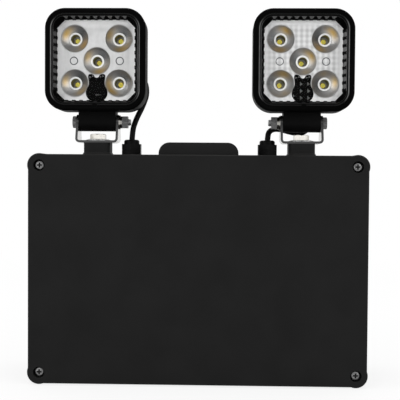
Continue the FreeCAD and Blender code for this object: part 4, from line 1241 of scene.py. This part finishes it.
def cover_screws():
    """Four pan-head screws with a cross recess and a cut thread."""
    low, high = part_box("cover_screws")
    seat = low.y + SCREW_HEIGHT * MM
    profile = [(SCREW_SHANK, 0.0), (SCREW_HEAD, 0.0), (SCREW_HEAD, SCREW_LIP)]
    for step in range(1, SCREW_RINGS):
        radius = SCREW_HEAD * (1 - step / SCREW_RINGS)
        profile.append((radius, head_height(radius)))
    length = (high.y - seat) / MM
    crests = range(int(2 * length / SCREW_PITCH))
    thread = [(SCREW_ROOT if step % 2 else SCREW_SHANK, step * SCREW_PITCH / 2) for step in crests]
    shape = bmesh.new()
    pit = shape.verts.layers.float.new("pit")
    for sign_x, sign_z in QUARTERS:
        reach_x = high.x - SCREW_HEAD * MM
        reach_z = high.z - SCREW_HEAD * MM
        origin = Vector((sign_x * reach_x, seat, sign_z * reach_z))
        rings = []
        for radius, height in profile:
            ring = []
            for cosine, sine in circle(SCREW_STEPS):
                x = radius * cosine
                z = radius * sine
                inside = float(height > SCREW_SIDE and in_cross(x, z))
                drop = inside * (CROSS_DEPTH - CROSS_SLOPE * radius)
                ring.append(corner(shape, origin, x, drop - height, z))
                # Corners in the cross recess are marked for painted shade.
                ring[-1][pit] = inside
            rings.append(ring)
        skin(shape, rings)
        skin(shape, turned(shape, origin, thread, TUBE_SIDES))
    piece = mesh_piece("cover_screw_heads", shape, SCREW_CRISP)
    dress(piece, "screw_head", "box", "cover_screws")


# Light sources.

def light_sources(side):
    """Five square bases with a domed yellow emitter on each."""
    node = f"{side}_leds"
    middle = lamp_middle(side)
    middle.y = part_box(node)[1].y
    profile = [(LED_FOOT, -LED_SEAT)]
    for step in range(LED_RINGS):
        rise = math.radians(90 * step / LED_RINGS)
        profile.append((LED_DOME * math.cos(rise), -LED_SEAT - LED_DOME_HEIGHT * math.sin(rise)))
    profile.append((LED_TOP, -LED_SEAT - LED_DOME_HEIGHT))
    shape = bmesh.new()
    dome = shape.verts.layers.float.new("dome")
    for place_x, place_z in DISH_PLACES:
        origin = middle + (ACROSS * place_x + UPWARD * place_z) * MM
        rings = []
        for half, rise in LED_BASE:
            outline = rounded_square(half, half, LED_CORNER, LED_CORNER_STEPS)
            rings.append([corner(shape, origin, x, -rise, z) for x, z in outline])
        skin(shape, rings)
        rings = turned(shape, origin, profile, LED_STEPS)
        skin(shape, rings)
        for vertex in sum(rings, []):
            vertex[dome] = 1.0
    piece = mesh_piece(f"{side}_light_sources", shape, LED_CRISP, faces_outward=True)
    dress(piece, "led_yellow", f"{side}_head", node)


# Pivot bolts.

def hexagon_reach(turn):
    """Distance from the middle of a bolt's head to its edge in one direction."""
    return BOLT_FLATS / 2 / math.cos(turn % (math.pi / 3) - math.pi / 6)


def thread_radius(along, turn):
    """Radius of a bolt's thread after that many pitches, in one direction."""
    phase = (along - turn / (2 * math.pi)) % 1.0
    return BOLT_RADIUS - (BOLT_RADIUS - BOLT_ROOT) * (1 - abs(2 * phase - 1))


def pivot_bolt(side):
    """Hexagon-head bolt with a cut thread, lying across the bracket, its head on the outer side."""
    node = f"{side}_pivot_bolt"
    low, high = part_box(node)
    origin = (low + high) / 2
    origin.x = low.x if side == "left" else high.x
    length = (high.x - low.x) / MM
    shape = bmesh.new()
    rings = []

    def ring(place_at):
        """Adds corners all round, each at a distance from the head's top and out from the axis."""
        made = []
        for step in range(BOLT_STEPS):
            turn = 2 * math.pi * step / BOLT_STEPS
            distance, radius = place_at(turn)
            x = -OUTWARD[side] * distance
            made.append(corner(shape, origin, x, radius * math.cos(turn), radius * math.sin(turn)))
        rings.append(made)

    for place in BOLT_CROWN:
        ring(lambda turn: place)
    crown = BOLT_CROWN[-1][1]
    ring(lambda turn: ((hexagon_reach(turn) - crown) * BOLT_CHAMFER, hexagon_reach(turn)))
    ring(lambda turn: (BOLT_HEAD, hexagon_reach(turn)))
    ring(lambda turn: (BOLT_HEAD, BOLT_RADIUS))
    ring(lambda turn: (BOLT_PLAIN, BOLT_RADIUS))
    slices = int((length - BOLT_POINT - BOLT_PLAIN) / BOLT_PITCH * BOLT_SLICES)
    for step in range(1, slices + 1):
        along = step / BOLT_SLICES
        ring(lambda turn: (BOLT_PLAIN + along * BOLT_PITCH, thread_radius(along, turn)))
    ring(lambda turn: (length, BOLT_END))
    skin(shape, rings)
    piece = mesh_piece(f"{side}_pivot_bolt_cut", shape, BOLT_CRISP)
    dress(piece, "pivot_steel", f"{side}_bracket", node)


# Floor, world, lights and camera.

def stage_floor():
    """A wide pale floor, white to the eye and in reflections, that keeps the object's shadow."""
    shape = bmesh.new()
    bmesh.ops.create_grid(shape, x_segments=2, y_segments=2, size=FLOOR_SIZE / 2)
    floor = mesh_piece("floor", shape, FLAT)
    floor.location = (0.0, 0.0, cad_low.z - FLOOR_GAP)
    surface = Surface("floor_white", FLOOR_ROUGHNESS, 0.0, 0.0)
    cloud = surface.level(surface.noise(3.0, 2.0), 0.0, 1.0)
    surface.set(Base_Color=surface.mix(cloud, grey(FLOOR_WHITE), grey(FLOOR_CLOUDS)))
    glow = surface.add("ShaderNodeEmission", {"Color": grey(1.0), "Strength": 1.0}).outputs[0]
    path = surface.add("ShaderNodeLightPath").outputs
    seen = surface.most(path["Is Camera Ray"], path["Is Glossy Ray"])
    seen = surface.most(seen, path["Is Transmission Ray"])
    distance = surface.add("ShaderNodeVectorMath", {0: surface.place}, operation="LENGTH").outputs["Value"]
    share = surface.times(seen, surface.level(distance, FLOOR_GLOW, 1.0, FLOOR_NEAR, FLOOR_FAR))
    surface.show(surface.mix_shaders(share, surface.shader.outputs[0], glow))
    paint(floor, surface.material)


def studio_world():
    """White surroundings for the eye, and for the rest a bright studio, darker in front and above."""
    world = bpy.data.worlds.new("studio")
    scene.world = world
    world.use_nodes = True
    world.node_tree.nodes.clear()
    graph = Graph(world.node_tree)
    parts = graph.parts(graph.add("ShaderNodeTexCoord").outputs["Generated"])
    beside = graph.level(parts["Y"], 0.0, 1.0, *STUDIO_FRONT)
    under = graph.level(parts["Z"], 0.0, 1.0, *STUDIO_ABOVE)
    lit = graph.times(graph.times(beside, under), STUDIO_BRIGHT - STUDIO_DARK)
    seen = graph.add("ShaderNodeLightPath").outputs["Is Camera Ray"]
    strength = graph.most(seen, graph.plus(lit, STUDIO_DARK))
    back = graph.add("ShaderNodeBackground", {"Color": grey(1.0), "Strength": strength})
    graph.add("ShaderNodeOutputWorld", {"Surface": back.outputs[0]})


def soft_light(name, place, width, height, power):
    """A soft box at a place, facing the object."""
    lamp = bpy.data.lights.new(name, "AREA")
    lamp.shape = "RECTANGLE"
    lamp.size = width
    lamp.size_y = height
    lamp.energy = power
    holder = link(name, lamp)
    holder.location = place
    holder.rotation_euler = (Vector(LIGHT_AIM) - Vector(place)).to_track_quat("-Z", "Y").to_euler()


def photo_camera():
    """The camera at the photograph's place."""
    data = bpy.data.cameras.new("camera")
    data.lens = CAMERA_LENS
    data.sensor_width = CAMERA_SENSOR
    data.clip_start = CAMERA_NEAR
    data.clip_end = CAMERA_FAR
    camera = link("camera", data)
    aim = Matrix.Rotation(CAMERA_TURN, 4, "Z") @ Matrix.Rotation(CAMERA_PITCH, 4, "X")
    aim = aim @ Matrix.Rotation(CAMERA_ROLL, 4, "Y") @ Matrix.Rotation(math.radians(90), 4, "X")
    camera.matrix_world = Matrix.Translation(CAMERA_PLACE) @ aim
    scene.camera = camera


# Everything is put together here.
LAMP_PIECES = (
    lamp_lead, reflector, bezel_ribs, bezel_lines, bezel_wedges, wire_boot, boot_studs, light_sources,
    pivot_bolt,
)
for side in SIDES:
    for build in LAMP_PIECES:
        build(side)
reflector_quilt("right")
cover_screws()
stage_floor()
studio_world()
for light_name, light in LIGHTS.items():
    soft_light(light_name, *light)
photo_camera()
scene.view_settings.view_transform = "Standard"
